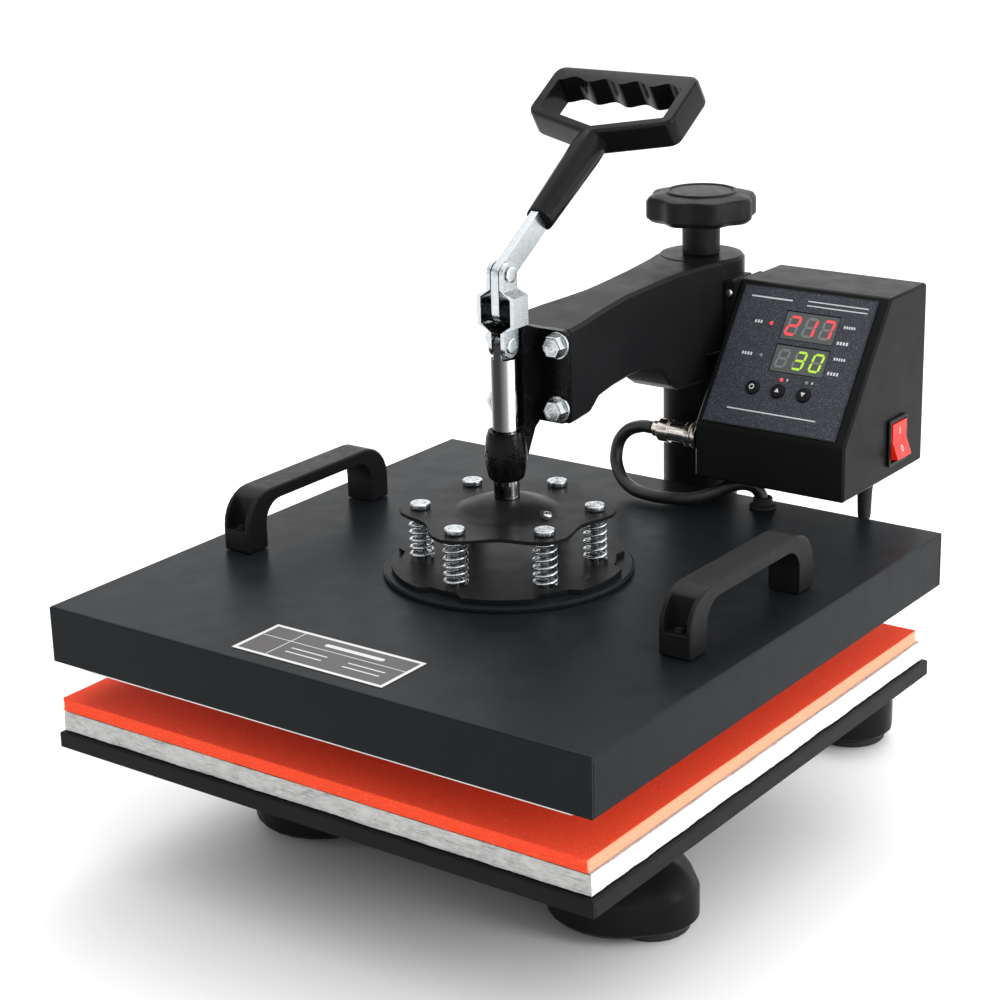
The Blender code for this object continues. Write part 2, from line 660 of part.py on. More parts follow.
def link(side):
    """One link plate, bulged round the bracket's ear, with the stub of its lower pin."""
    width = STRAP_HALF_WIDTH
    top, bottom = UPPER_PIN_Z, LOWER_PIN_Z
    low_end, high_end = bottom - width - 0.001, top + width + 0.001
    inner = [(LINK_INNER, low_end), (LINK_INNER, 0.3270), (LINK_BULGE_INNER, 0.3320),
             (LINK_BULGE_INNER, 0.3480), (LINK_INNER, 0.3530), (LINK_INNER, high_end)]
    outer = [(LINK_OUTER, low_end), (LINK_OUTER, 0.3280), (LINK_BULGE_OUTER, 0.3310),
             (LINK_BULGE_OUTER, 0.3490), (LINK_OUTER, 0.3520), (LINK_OUTER, high_end)]
    side_view = [(side * x, z) for x, z in inner + outer[::-1]]
    plate = prism(side_view, -width, width, "Y")
    front_view = prism(strap_outline([(0, bottom), (0, top)], width), -0.02, 0.02, "X")
    shaped = boolean(plate, front_view, "INTERSECT")
    stub = laid(turned([(0, LEVER_HALF_THICK + 0.0003), (PIN_RADIUS, LEVER_HALF_THICK + 0.0003),
                        (PIN_RADIUS, LINK_OUTER - 0.001), (0.0048, LINK_OUTER - 0.0004),
                        (0.0048, 0.0070), (0.0036, 0.0075), (0, 0.0075)], 16),
                Matrix.Translation((0, 0, bottom)) @ along((side, 0, 0)))
    hole = laid(turned([(0, 0.001), (PIN_RADIUS + GAP, 0.001), (PIN_RADIUS + GAP, 0.009),
                        (0, 0.009)], 16), Matrix.Translation((0, 0, top)) @ along((side, 0, 0)))
    return cut(joined(shaped, stub), hole)


def lever_bar():
    """The flat cranked bar from the pivot past the upper pin into the grip's neck."""
    way = Vector((sin(LEVER_TILT), cos(LEVER_TILT)))
    bend = Vector((0, UPPER_PIN_Z - 0.0005))
    neck = Vector((NECK_START.y, NECK_START.z))
    tip = neck + way * 0.030
    bar = prism(strap_outline([(0, PIVOT_Z), bend, tip], STRAP_HALF_WIDTH),
                -LEVER_HALF_THICK, LEVER_HALF_THICK, "X")
    frame = neck_frame()
    shoulder = 0.0004
    trims = [laid(block((-0.01, 0.01), (side * 0.0050, side * 0.02), (-shoulder, 0.06)), frame)
             for side in (-1, 1)]
    end = laid(block((-0.01, 0.01), (-0.02, 0.02), (0.028, 0.06)), frame)
    return cut(bar, *[closed(trim) for trim in trims], end,
               pin_hole(PIVOT_Z, 0.0038), pin_hole(UPPER_PIN_Z, PIN_RADIUS + GAP))


def neck_frame():
    """Z along the grip's neck from its open end, X across, Y over its front."""
    z = Vector((0, sin(LEVER_TILT), cos(LEVER_TILT)))
    x = Vector((1, 0, 0))
    made = Matrix((x, z.cross(x), z)).transposed().to_4x4()
    made.translation = NECK_START
    return made


def loop_hole_outline():
    """The inside of the grip loop: a shallow V below and four finger scallops above."""
    half = LOOP_HALF_WIDTH - 0.0075
    slope = LOOP_SHOULDER / LOOP_HALF_WIDTH
    low = [(-half, half * slope + 0.0065), (0, 0.0065), (half, half * slope + 0.0065)]
    fingers = 4
    steps = 64
    high = []
    for i in range(steps + 1):
        t = 1 - i / steps
        bar = 0.0112 + 0.0018 * cos(2 * pi * fingers * t)
        high.append(((2 * t - 1) * half, LOOP_LENGTH - bar))
    return low + high


def lever_grip():
    """The moulded grip: a tapered neck and a loop to pull on, in one plane."""
    outline = rounded_outline(
        [(0, 0), (LOOP_HALF_WIDTH, LOOP_SHOULDER), (LOOP_HALF_WIDTH, LOOP_LENGTH),
         (-LOOP_HALF_WIDTH, LOOP_LENGTH), (-LOOP_HALF_WIDTH, LOOP_SHOULDER)],
        (0.008, 0.008, 0.007, 0.007, 0.008), 4)
    half = LOOP_THICK / 2
    body = rounded(prism(outline, -half, half, "Y"), 0.0025, 2, 60)
    hole = prism(loop_hole_outline(), -0.02, 0.02, "Y")
    loop = moved(cut(body, hole), 0, 0, NECK_LENGTH)
    neck = turned([(0, 0), (0.0085, 0), (0.0088, 0.002), (0.0103, 0.058), (0.0098, 0.0695),
                   (0, 0.0695)], 24)
    slot = block((-LEVER_HALF_THICK - GAP, LEVER_HALF_THICK + GAP), (-0.0053, 0.0053),
                 (-0.01, 0.0285))
    return laid(cut(joined(neck, loop), slot), neck_frame())


def plunger_rod():
    """The chromed rod, with a flat tongue between the links and a stud below."""
    rod = turned([(0, 0.205), (0.0043, 0.205), (0.005, 0.206), (0.005, 0.2243),
                  (ROD_RADIUS, 0.2243), (ROD_RADIUS, ROD_SHOULDER), (0, ROD_SHOULDER)], 24)
    width = 0.0065
    tongue = prism(arc((0, LOWER_PIN_Z), width, 0, pi, 8)
                   + [(-width, ROD_SHOULDER - 0.004), (width, ROD_SHOULDER - 0.004)],
                   -LEVER_HALF_THICK, LEVER_HALF_THICK, "X")
    return joined(rod, tongue)


# ---- Platen -------------------------------------------------------------------------

def bolt_places():
    """Angles round the press axis of the shoulder bolts and their springs."""
    return [radians(30) + 2 * pi * i / SPRING_COUNT for i in range(SPRING_COUNT)]


def bolt_holes(radius, low, high, segments=12):
    """Cutters for the shoulder bolts."""
    return [moved(turned([(0, low), (radius, low), (radius, high), (0, high)], segments),
                  SPRING_CIRCLE * cos(a), SPRING_CIRCLE * sin(a)) for a in bolt_places()]


def spring_plate_upper():
    """The star plate on the plunger, domed round the rod, with holes for the bolts."""
    star = prism(wave_outline(STAR_MEAN_RADIUS, STAR_WAVE, SPRING_COUNT, radians(30), 48),
                 STAR_BOTTOM, STAR_BOTTOM + STAR_THICK)
    opening = turned([(0, 0.20), (0.0275, 0.20), (0.0275, 0.23), (0, 0.23)], 24)
    stud = 0.0053
    dome = turned([(0.0340, 0.2145), (0.0340, 0.2160), (0.0270, 0.2192), (0.0180, 0.2222),
                   (0.010, 0.2240), (stud, 0.2240), (stud, 0.2216), (0.010, 0.2216),
                   (0.0180, 0.2198), (0.0270, 0.2168), (0.0290, 0.2145)], 32, ring=True)
    return cut(joined(cut(star, opening), dome), *bolt_holes(0.0036, 0.20, 0.23, 8))


def spring_plate_lower():
    """The plate under the springs, with stepped tabs round its edge."""
    tabs = 6
    outline = []
    for i in range(tabs):
        middle = 2 * pi * i / tabs
        outline += arc((0, 0), LOWER_PLATE_RADIUS + 0.003, middle - 0.30, middle + 0.30, 5)
        outline += arc((0, 0), LOWER_PLATE_RADIUS - 0.003, middle + 0.38, middle + 0.66, 3)
    low = COVER_TOP + HUB_THICK + 2 * GAP
    plate = prism(outline, low, low + PLATE_THICK)
    return cut(plate, *bolt_holes(BOLT_SHANK + 0.0005, 0.17, 0.20, 8))


def shoulder_bolt(angle):
    """A shoulder bolt that hangs the platen from the star plate."""
    profile = [(0, 0.1822), (BOLT_SHANK, 0.1822), (BOLT_SHANK, 0.2168), (BOLT_HEAD, 0.2168),
               (BOLT_HEAD, 0.2194), (BOLT_HEAD - 0.0006, 0.2200), (0, 0.2200)]
    return moved(turned(profile, 12), SPRING_CIRCLE * cos(angle), SPRING_CIRCLE * sin(angle))


def spring_points(angle):
    """The centre line of one spring's wire."""
    low = COVER_TOP + HUB_THICK + PLATE_THICK + 3 * GAP + SPRING_WIRE
    high = STAR_BOTTOM - GAP - SPRING_WIRE
    steps = int(SPRING_TURNS * 8)
    centre = Vector((SPRING_CIRCLE * cos(angle), SPRING_CIRCLE * sin(angle), 0))
    made = []
    for i in range(steps + 1):
        t = i / steps
        turn = 2 * pi * SPRING_TURNS * t
        made.append(centre + Vector((SPRING_RADIUS * cos(turn), SPRING_RADIUS * sin(turn),
                                     low + (high - low) * t)))
    return made


def heat_plate():
    """The cast heating plate with six stand-offs up to the cover."""
    (left, right), (front, rear) = PLATEN_X, PLATEN_Y
    corners = [(left, front), (right, front), (right, rear), (left, rear)]
    body = rounded(prism(rounded_outline(corners, (0.006,) * 4, 1), PLATEN_BOTTOM, 0.1585),
                   0.0008, 1, 60)
    under_cover = COVER_TOP - SHEET - GAP
    posts = [moved(turned([(0, 0.155), (0.007, 0.155), (0.007, under_cover), (0, under_cover)], 12),
                   SPRING_CIRCLE * cos(a), SPRING_CIRCLE * sin(a)) for a in bolt_places()]
    return joined(body, *posts)


def hub_disc():
    """The round plate on the cover that carries the springs' plate."""
    low = COVER_TOP + GAP
    high = low + HUB_THICK
    return turned([(0, low), (HUB_RADIUS, low), (HUB_RADIUS, high - 0.001),
                   (HUB_RADIUS - 0.001, high), (0, high)], 48)


def platen_handle(side):
    """A moulded bow handle with a screw well in each leg."""
    low = COVER_TOP + GAP
    top = low + HANDLE_HEIGHT
    front, rear = HANDLE_MID_Y - HANDLE_LENGTH / 2, HANDLE_MID_Y + HANDLE_LENGTH / 2
    outer_round, inner_round = 0.022, 0.014
    outside = rounded_outline([(front, low), (rear, low), (rear, top), (front, top)],
                              (0, 0, outer_round, outer_round), 6)
    inside = rounded_outline([(front + HANDLE_LEG, low - 0.01), (rear - HANDLE_LEG, low - 0.01),
                              (rear - HANDLE_LEG, top - HANDLE_BAR),
                              (front + HANDLE_LEG, top - HANDLE_BAR)],
                             (0, 0, inner_round, inner_round), 6)
    half = HANDLE_WIDTH / 2
    body = rounded(prism(outside, -half, half, "X"), 0.001, 1, 60)
    floor = low + 0.014
    wells = [closed(block((-half + 0.003, half - 0.003), (y - way * 0.02, y + way * 0.0095),
                          (floor, top + 0.01))) for y, way in ((front, 1), (rear, -1))]
    return moved(cut(body, prism(inside, -0.02, 0.02, "X"), *wells), side * HANDLE_X)


def add_platen(platen, finishes):
    platen.add("heat_plate", heat_plate(), finishes["plate_aluminium"])
    platen.add("platen_cover", folded_tray(COVER_WIDTH, COVER_DEPTH, COVER_TOP,
                                           COVER_TOP - COVER_BOTTOM), finishes["cover_paint"])
    platen.add("hub_disc", hub_disc(), finishes["cover_paint"])
    platen.add("spring_plate_lower", spring_plate_lower(), finishes["black_powder"])
    for i, angle in enumerate(bolt_places(), 1):
        platen.add(f"shoulder_bolt_{i}", shoulder_bolt(angle), finishes["zinc_steel"])
        platen.add_tube(f"platen_spring_{i}", spring_points(angle), SPRING_WIRE,
                        finishes["zinc_steel"], 0)
    platen.add("handle_left", platen_handle(-1), finishes["matt_black_plastic"])
    platen.add("handle_right", platen_handle(1), finishes["matt_black_plastic"])


# ---- Control box --------------------------------------------------------------------

def panel_frame():
    """X across the sloping panel, Y up its slope, Z out of it, from its lower left."""
    x = Vector((1, 0, 0))
    slope = Vector((0, BOX_TOP_FRONT_Y - BOX_FRONT_Y, BOX_TOP - BOX_KNEE)).normalized()
    made = Matrix((x, slope, x.cross(slope))).transposed().to_4x4()
    made.translation = (BOX_LEFT, BOX_FRONT_Y, BOX_KNEE)
    return made


def bezel_cutter(grow, low_x, high_x):
    """The switch body's rectangle, pushed through the right wall."""
    half_high, half_wide = 0.0140 + grow, 0.0110 + grow
    return block((low_x, high_x), (SWITCH_Y - half_wide, SWITCH_Y + half_wide),
                 (SWITCH_Z - half_high, SWITCH_Z + half_high))


def box_shell():
    """The folded case, open at the back, cut for the panel, switch and cables."""
    outline = [(BOX_FRONT_Y, BOX_BOTTOM), (BOX_REAR_Y, BOX_BOTTOM), (BOX_REAR_Y, BOX_TOP),
               (BOX_TOP_FRONT_Y, BOX_TOP), (BOX_FRONT_Y, BOX_KNEE)]
    body = rounded(prism(outline, BOX_LEFT, BOX_RIGHT, "X"), 0.0015, 1)
    w = BOX_WALL
    inside = [(BOX_FRONT_Y + w, BOX_BOTTOM + w), (BOX_REAR_Y + 0.02, BOX_BOTTOM + w),
              (BOX_REAR_Y + 0.02, BOX_TOP - w), (BOX_TOP_FRONT_Y + w / 2, BOX_TOP - w),
              (BOX_FRONT_Y + w, BOX_KNEE - w / 3)]
    hollow = prism(inside, BOX_LEFT + w, BOX_RIGHT - w, "X")
    window = laid(block((0.024, 0.084), (0.020, 0.088), (-0.006, 0.004)), panel_frame())
    connector_hole = laid(turned([(0, -0.01), (0.0063, -0.01), (0.0063, 0.01), (0, 0.01)], 16),
                          Matrix.Translation((BOX_LEFT, CONNECTOR_Y, CONNECTOR_Z))
                          @ along((1, 0, 0)))
    gland_hole = moved(turned([(0, -0.01), (0.0053, -0.01), (0.0053, 0.01), (0, 0.01)], 16),
                       GLAND_X, GLAND_Y, BOX_BOTTOM)
    return cut(body, hollow, window, connector_hole, gland_hole,
               bezel_cutter(GAP, BOX_RIGHT - 0.01, BOX_RIGHT + 0.01))


def box_back():
    """The flat rear cover, set into the case."""
    inset = BOX_WALL + GAP
    return block((BOX_LEFT + inset, BOX_RIGHT - inset), (BOX_REAR_Y - 0.0022, BOX_REAR_Y - 0.0002),
                 (BOX_BOTTOM + inset, BOX_TOP - inset))


def control_panel():
    """The front overlay plate with its two display windows and three button holes."""
    plate = block((PANEL_LEFT, PANEL_RIGHT), (PANEL_LOW, PANEL_HIGH), (GAP, 0.0013))
    windows = [block((DISPLAY_LEFT - 0.0005, DISPLAY_RIGHT + 0.0005), (low - 0.0005, high + 0.0005),
                     (-0.002, 0.004)) for low, high in DISPLAY_SLOPES]
    holes = [moved(turned([(0, -0.002), (0.0051, -0.002), (0.0051, 0.004), (0, 0.004)], 16),
                   x, BUTTON_SLOPE) for x in BUTTON_PLACES]
    return laid(cut(plate, *windows, *holes), panel_frame())


def controller_board():
    """The circuit board behind the panel, with the two display blocks standing on it."""
    board = block((0.012, 0.096), (0.018, 0.089), (-0.0140, -0.0124))
    displays = [block((DISPLAY_LEFT, DISPLAY_RIGHT), span, (-0.013, 0.0007))
                for span in DISPLAY_SLOPES]
    return laid(joined(board, *displays), panel_frame())


def button(x):
    """A round button with a collar behind the panel."""
    profile = [(0, -0.0024), (0.0061, -0.0024), (0.0061, -0.0006), (0.00475, -0.0006),
               (0.00475, 0.0024), (0.0041, 0.0030), (0, 0.0030)]
    return laid(moved(turned(profile, 16), x, BUTTON_SLOPE), panel_frame())


def switch_bezel():
    """The rocker switch's frame and body, open to the outside."""
    flange = rounded(block((BOX_RIGHT + GAP, BOX_RIGHT + 0.0023),
                           (SWITCH_Y - SWITCH_WIDTH / 2, SWITCH_Y + SWITCH_WIDTH / 2),
                           (SWITCH_Z - SWITCH_HEIGHT / 2, SWITCH_Z + SWITCH_HEIGHT / 2)), 0.0006)
    body = bezel_cutter(0, BOX_RIGHT - 0.014, BOX_RIGHT + 0.001)
    well = bezel_cutter(-0.0007, BOX_RIGHT - 0.012, BOX_RIGHT + 0.01)
    return cut(joined(flange, body), well)


ROCKER_AXIS = Vector((BOX_RIGHT - 0.0012, SWITCH_Y, SWITCH_Z))


def switch_rocker():
    """The red rocker, a shallow V that lies pressed in at its top."""
    half = 0.0118
    face = 0.0042
    rise = half * tan(ROCKER_TILT)
    outline = [(-0.004, -half + 0.001), (face + rise, -half), (face, 0), (face + rise, half),
               (-0.004, half - 0.001)]
    made = prism(outline, -0.0095, 0.0095, "Y")
    return laid(made, Matrix.Translation(ROCKER_AXIS) @ Matrix.Rotation(-ROCKER_TILT, 4, "Y"))


def cable_connector():
    """The screwed connector on the box's left wall, with its cable clamp."""
    profile = [(0, -0.008), (0.0060, -0.008), (0.0060, GAP), (0.0095, GAP), (0.0095, 0.0028),
               (0.0070, 0.0028), (0.0070, 0.0045), (0.0088, 0.0050), (0.0088, 0.0090),
               (0.0070, 0.0095), (0.0066, 0.0220), (0.0080, 0.0225), (0.0080, 0.0300),
               (0.0056, 0.0305), (0.0056, 0.0350), (0, 0.0350)]
    return laid(turned(profile, 14),
                Matrix.Translation((BOX_LEFT, CONNECTOR_Y, CONNECTOR_Z)) @ along((-1, 0, 0)))


def box_bracket():
    """The plate between the arm's lug and the box, with a lip towards the front."""
    plate = block((0.0317, BOX_LEFT - GAP), (0.2090, 0.246), (0.272, 0.3175))
    lip = block((0.0275, 0.0335), (0.2090, 0.2120), (0.272, 0.3175))
    return joined(plate, lip)


def cord_gland():
    """The mains cord's tapered strain relief under the box."""
    profile = [(0, 0.008), (0.0050, 0.008), (0.0050, -GAP), (0.0080, -GAP), (0.0080, -0.0030),
               (0.0062, -0.0040), (0.0046, -GLAND_LENGTH), (0, -GLAND_LENGTH)]
    return moved(turned(profile, 16), GLAND_X, GLAND_Y, BOX_BOTTOM)


def cord_coil():
    """The outer shape of the coiled part of the mains cord."""
    low, c = GAP, 0.003
    profile = [(COIL_INNER, low + c), (COIL_INNER, COIL_HEIGHT - c),
               (COIL_INNER + c, COIL_HEIGHT), (COIL_OUTER - c, COIL_HEIGHT),
               (COIL_OUTER, COIL_HEIGHT - c), (COIL_OUTER, low + c), (COIL_OUTER - c, low),
               (COIL_INNER + c, low)]
    return moved(turned(profile, 28, ring=True), *COIL_CENTRE)


def mains_plug():
    """A moulded plug with two blades and a round earth pin, lying beside the coil."""
    body = rounded(block((-0.012, 0.012), (-0.019, 0.019), (0.0005, 0.0225)), 0.004)
    tail = laid(turned([(0, 0), (0.0068, 0), (0.0048, 0.020), (0, 0.020)], 12),
                Matrix.Translation((0, 0.016, 0.0107)) @ along((0, 1, 0)))
    blades = [block((x - 0.00075, x + 0.00075), (-0.036, -0.010), (0.0080, 0.0143))
              for x in (-0.00635, 0.00635)]
    earth = laid(turned([(0, 0), (0.0024, 0), (0.0024, 0.030), (0.0014, 0.032), (0, 0.032)], 10),
                 Matrix.Translation((0, -0.010, 0.0180)) @ along((0, -1, 0)))
    plug = joined(body, tail, *blades, earth)
    return laid(plug, Matrix.Translation((*PLUG_CENTRE, 0)) @ Matrix.Rotation(-pi / 2, 4, "Z"))


def add_control_box(arm, finishes):
    arm.add("box_bracket", box_bracket(), finishes["black_powder"])
    arm.add("box_shell", box_shell(), finishes["black_powder"])
    arm.add("box_back", box_back(), finishes["black_powder"])
    arm.add("control_panel", control_panel(), finishes["panel_film"])
    arm.add("controller_board", controller_board(), finishes["circuit_board"])
    arm.add("switch_bezel", switch_bezel(), finishes["gloss_black_plastic"])
    arm.add("cable_connector", cable_connector(), finishes["nickel"])
    arm.add_tube("heater_cable", smooth_route(HEATER_ROUTE, 2), HEATER_CABLE_RADIUS,
                 finishes["cable_jacket"], 3)
    arm.add("cord_gland", cord_gland(), finishes["matt_black_plastic"])
    arm.add_tube("mains_cord", smooth_route(MAINS_ROUTE, 2), MAINS_RADIUS,
                 finishes["cable_jacket"], 2)
    arm.add("cord_coil", cord_coil(), finishes["cable_jacket"])
    arm.add("mains_plug", mains_plug(), finishes["matt_black_plastic"])


# ---- Assembly -----------------------------------------------------------------------

def clear_scene():
    for old in list(bpy.data.objects):
        bpy.data.objects.remove(old)


def build():
    """Every group on its joint's axis, with its pieces."""
    clear_scene()
    finishes = all_materials()
    root = Group("press", (0, 0, 0))
    lift = Group("lift_axis", (0, POST_Y, COLUMN_TOP), root)
    arm = Group("swing_axis", (0, POST_Y, COLUMN_TOP), lift)
    knob = Group("knob_axis", (0, POST_Y, KNOB_BOTTOM), arm)
    lever = Group("lever_pivot", (0, 0, PIVOT_Z), arm)
    links = Group("upper_pin_axis", (0, 0, UPPER_PIN_Z), lever)
    plunger = Group("plunger_axis", (0, 0, LOWER_PIN_Z), arm)
    platen = Group("platen_float_axis", (0, 0, STAR_BOTTOM), plunger)

    add_lower_half(root, finishes)
    lift.add("lift_spindle", lift_spindle(), finishes["zinc_steel"])
    arm.add("press_arm", press_arm(), finishes["black_powder"])
    arm.add("toggle_bracket", toggle_bracket(), finishes["black_casting"])
    for i, (x, z) in enumerate([(x, z) for z in FLANGE_BOLT_Z
                                for x in (-FLANGE_BOLT_X, FLANGE_BOLT_X)], 1):
        arm.add(f"bracket_bolt_{i}", flange_bolt(x, z), finishes["zinc_steel"])
    arm.add("pivot_pin", rivet(PIVOT_Z, 0.0035, EAR_OUTER + GAP, 0.0102, 0.005),
            finishes["zinc_steel"])
    add_control_box(arm, finishes)
    knob.add("pressure_knob", pressure_knob(), finishes["matt_black_plastic"])
    knob.add("lift_screw", lift_screw(), finishes["zinc_steel"])
    lever.add("lever_bar", lever_bar(), finishes["zinc_steel"])
    lever.add("lever_grip", lever_grip(), finishes["gloss_black_plastic"])
    lever.add("upper_pin", rivet(UPPER_PIN_Z, PIN_RADIUS, LINK_OUTER + GAP, 0.0078, 0.0048),
              finishes["zinc_steel"])
    links.add("link_left", link(-1), finishes["zinc_steel"])
    links.add("link_right", link(1), finishes["zinc_steel"])
    plunger.add("plunger_rod", plunger_rod(), finishes["chrome_rod"])
    plunger.add("spring_plate_upper", spring_plate_upper(), finishes["black_powder"])
    add_platen(platen, finishes)

    for name, x in zip(("button_set", "button_up", "button_down"), BUTTON_PLACES):
        home = panel_frame() @ Vector((x, BUTTON_SLOPE, 0))
        Group(f"{name}_axis", home, arm).add(name, button(x), finishes["matt_black_plastic"])
    Group("rocker_axis", ROCKER_AXIS, arm).add("switch_rocker", switch_rocker(),
                                               finishes["switch_red"])
    left, right = TRAY_MIDDLE[0] - TRAY_WIDTH / 2, COVER_WIDTH / 2
    front, rear = -COVER_DEPTH / 2, REAR_FOOT_Y + LEG_TIP_RADIUS
    root.empty.location = (-(left + right) / 2, -(front + rear) / 2, 0)


build()
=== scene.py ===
"""The looks of a swing-away heat press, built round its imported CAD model.

Metres, +Z up. Places given to press() are measured from the press axis, which is the
line that the plunger slides on, and from the floor.
"""

import json
from math import cos, pi, radians, sin

import bmesh
import bpy
from mathutils import Matrix, Vector, noise


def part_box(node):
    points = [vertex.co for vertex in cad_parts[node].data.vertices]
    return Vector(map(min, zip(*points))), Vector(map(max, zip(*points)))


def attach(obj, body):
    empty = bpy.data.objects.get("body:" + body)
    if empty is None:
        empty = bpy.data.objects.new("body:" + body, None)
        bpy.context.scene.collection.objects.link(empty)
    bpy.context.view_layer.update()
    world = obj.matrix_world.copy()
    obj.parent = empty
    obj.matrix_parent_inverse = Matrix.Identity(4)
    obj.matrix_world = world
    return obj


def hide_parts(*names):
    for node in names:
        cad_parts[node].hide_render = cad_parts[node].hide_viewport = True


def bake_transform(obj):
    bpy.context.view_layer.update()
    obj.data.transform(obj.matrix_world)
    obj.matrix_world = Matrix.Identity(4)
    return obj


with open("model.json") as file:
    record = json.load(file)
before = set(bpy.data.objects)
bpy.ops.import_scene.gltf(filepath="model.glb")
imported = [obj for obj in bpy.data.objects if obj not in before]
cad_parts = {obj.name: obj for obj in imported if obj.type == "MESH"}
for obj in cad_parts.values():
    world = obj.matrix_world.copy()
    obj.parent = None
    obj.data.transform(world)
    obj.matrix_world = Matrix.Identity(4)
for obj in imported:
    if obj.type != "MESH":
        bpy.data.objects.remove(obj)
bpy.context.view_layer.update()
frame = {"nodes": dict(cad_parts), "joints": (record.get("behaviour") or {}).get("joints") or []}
NODES = frame["nodes"]

X, Y, Z = Vector((1, 0, 0)), Vector((0, 1, 0)), Vector((0, 0, 1))


def box_centre(node):
    low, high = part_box(node)
    return (low + high) / 2


AXIS = box_centre("plunger_rod")
COVER_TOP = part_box("platen_cover")[1].z


def press(x, y, z):
    """A place measured from the press axis and the floor, in the model's frame."""
    return Vector((x + AXIS.x, y + AXIS.y, z))


# ---- Camera -------------------------------------------------------------------------

VIEW_AZIMUTH = radians(36.41)
VIEW_ELEVATION = radians(18.62)
VIEW_ROLL = radians(-1.46)
VIEW_DISTANCE = 1.397
VIEW_TARGET = press(-0.0054, 0, 0.2209)
LENS = 83.16
SENSOR = 36.0


def add_camera():
    """A long lens from the front right, a little above, turned slightly on its axis."""
    data = bpy.data.cameras.new("camera")
    data.lens = LENS
    data.sensor_width = SENSOR
    camera = bpy.data.objects.new("camera", data)
    bpy.context.scene.collection.objects.link(camera)
    back = Vector((sin(VIEW_AZIMUTH) * cos(VIEW_ELEVATION),
                   -cos(VIEW_AZIMUTH) * cos(VIEW_ELEVATION), sin(VIEW_ELEVATION)))
    level = Vector((cos(VIEW_AZIMUTH), sin(VIEW_AZIMUTH), 0))
    up = back.cross(level)
    across = level * cos(VIEW_ROLL) + up * sin(VIEW_ROLL)
    turned_up = up * cos(VIEW_ROLL) - level * sin(VIEW_ROLL)
    placed = Matrix((across, turned_up, back)).transposed().to_4x4()
    placed.translation = VIEW_TARGET + back * VIEW_DISTANCE
    camera.matrix_world = placed
    bpy.context.scene.camera = camera


# ---- Materials ----------------------------------------------------------------------

class Finish:
    """A Principled material put together from procedural textures."""

    def __init__(self, name, colour, roughness, metallic=0.0, **more):
        self.material = bpy.data.materials.new(name)
        self.material.use_nodes = True
        self.tree = self.material.node_tree
        self.shader = self.tree.nodes["Principled BSDF"]
        self.shader.inputs["Base Color"].default_value = (*colour, 1.0)
        self.shader.inputs["Roughness"].default_value = roughness
        self.shader.inputs["Metallic"].default_value = metallic
        for socket, value in more.items():
            self.shader.inputs[socket.replace("_", " ")].default_value = value
        self.place = self.node("ShaderNodeTexCoord").outputs["Object"]

    def node(self, kind, **settings):
        made = self.tree.nodes.new(kind)
        for key, value in settings.items():
            setattr(made, key, value)
        return made

    def link(self, source, target):
        self.tree.links.new(source, target)

    def stretched(self, stretch):
        """The object's own coordinates, scaled apart along the axes."""
        if stretch is None:
            return self.place
        mapping = self.node("ShaderNodeMapping")
        mapping.inputs["Scale"].default_value = stretch
        self.link(self.place, mapping.inputs["Vector"])
        return mapping.outputs["Vector"]

    def noise(self, scale, detail=3.0, stretch=None, roughness=0.5):
        """Cloudy noise from 0 to 1, with about this many features to a metre."""
        made = self.node("ShaderNodeTexNoise")
        made.inputs["Scale"].default_value = scale
        made.inputs["Detail"].default_value = detail
        made.inputs["Roughness"].default_value = roughness
        self.link(self.stretched(stretch), made.inputs["Vector"])
        return made.outputs["Fac"]

    def cells(self, scale, stretch=None):
        """The distance from the nearest of many scattered points."""
        made = self.node("ShaderNodeTexVoronoi")
        made.inputs["Scale"].default_value = scale
        self.link(self.stretched(stretch), made.inputs["Vector"])
        return made.outputs["Distance"]

    def span(self, source, low, high, to_low=0.0, to_high=1.0):
        """One range mapped onto another and clamped."""
        made = self.node("ShaderNodeMapRange")
        for socket, value in (("From Min", low), ("From Max", high),
                              ("To Min", to_low), ("To Max", to_high)):
            made.inputs[socket].default_value = value
        self.link(source, made.inputs["Value"])
        return made.outputs["Result"]

    def math(self, operation, first, second):
        made = self.node("ShaderNodeMath", operation=operation)
        for source, target in ((first, made.inputs[0]), (second, made.inputs[1])):
            if isinstance(source, float):
                target.default_value = source
            else:
                self.link(source, target)
        return made.outputs["Value"]

    def mix(self, amount, first, second):
        """A colour between two, which are colours or sockets."""
        made = self.node("ShaderNodeMix", data_type="RGBA")
        self.link(amount, made.inputs["Factor"])
        for source, target in ((first, made.inputs[6]), (second, made.inputs[7])):
            if isinstance(source, tuple):
                target.default_value = (*source, 1.0)
            else:
                self.link(source, target)
        return made.outputs[2]

    def colour(self, source):
        self.link(source, self.shader.inputs["Base Color"])
        return self

    def rough(self, source):
        self.link(source, self.shader.inputs["Roughness"])

    def bump(self, height, depth):
        """A relief this many metres deep, on top of any before it."""
        made = self.node("ShaderNodeBump")
        made.inputs["Strength"].default_value = 1.0
        made.inputs["Distance"].default_value = depth
        self.link(height, made.inputs["Height"])
        normal = self.shader.inputs["Normal"]
        if normal.is_linked:
            self.link(normal.links[0].from_socket, made.inputs["Normal"])
        self.link(made.outputs["Normal"], normal)
        return self


def powder_coat(name, dark, light, roughness, grain=1100, depth=0.00002):
    """Baked powder paint: an even fine peel and faint clouds."""
    made = Finish(name, dark, roughness, Specular_IOR_Level=0.06)
    made.colour(made.mix(made.noise(26, 4), dark, light))
    made.rough(made.span(made.noise(60, 3), 0.3, 0.7, roughness - 0.05, roughness + 0.06))
    return made.bump(made.noise(grain, 2), depth).material


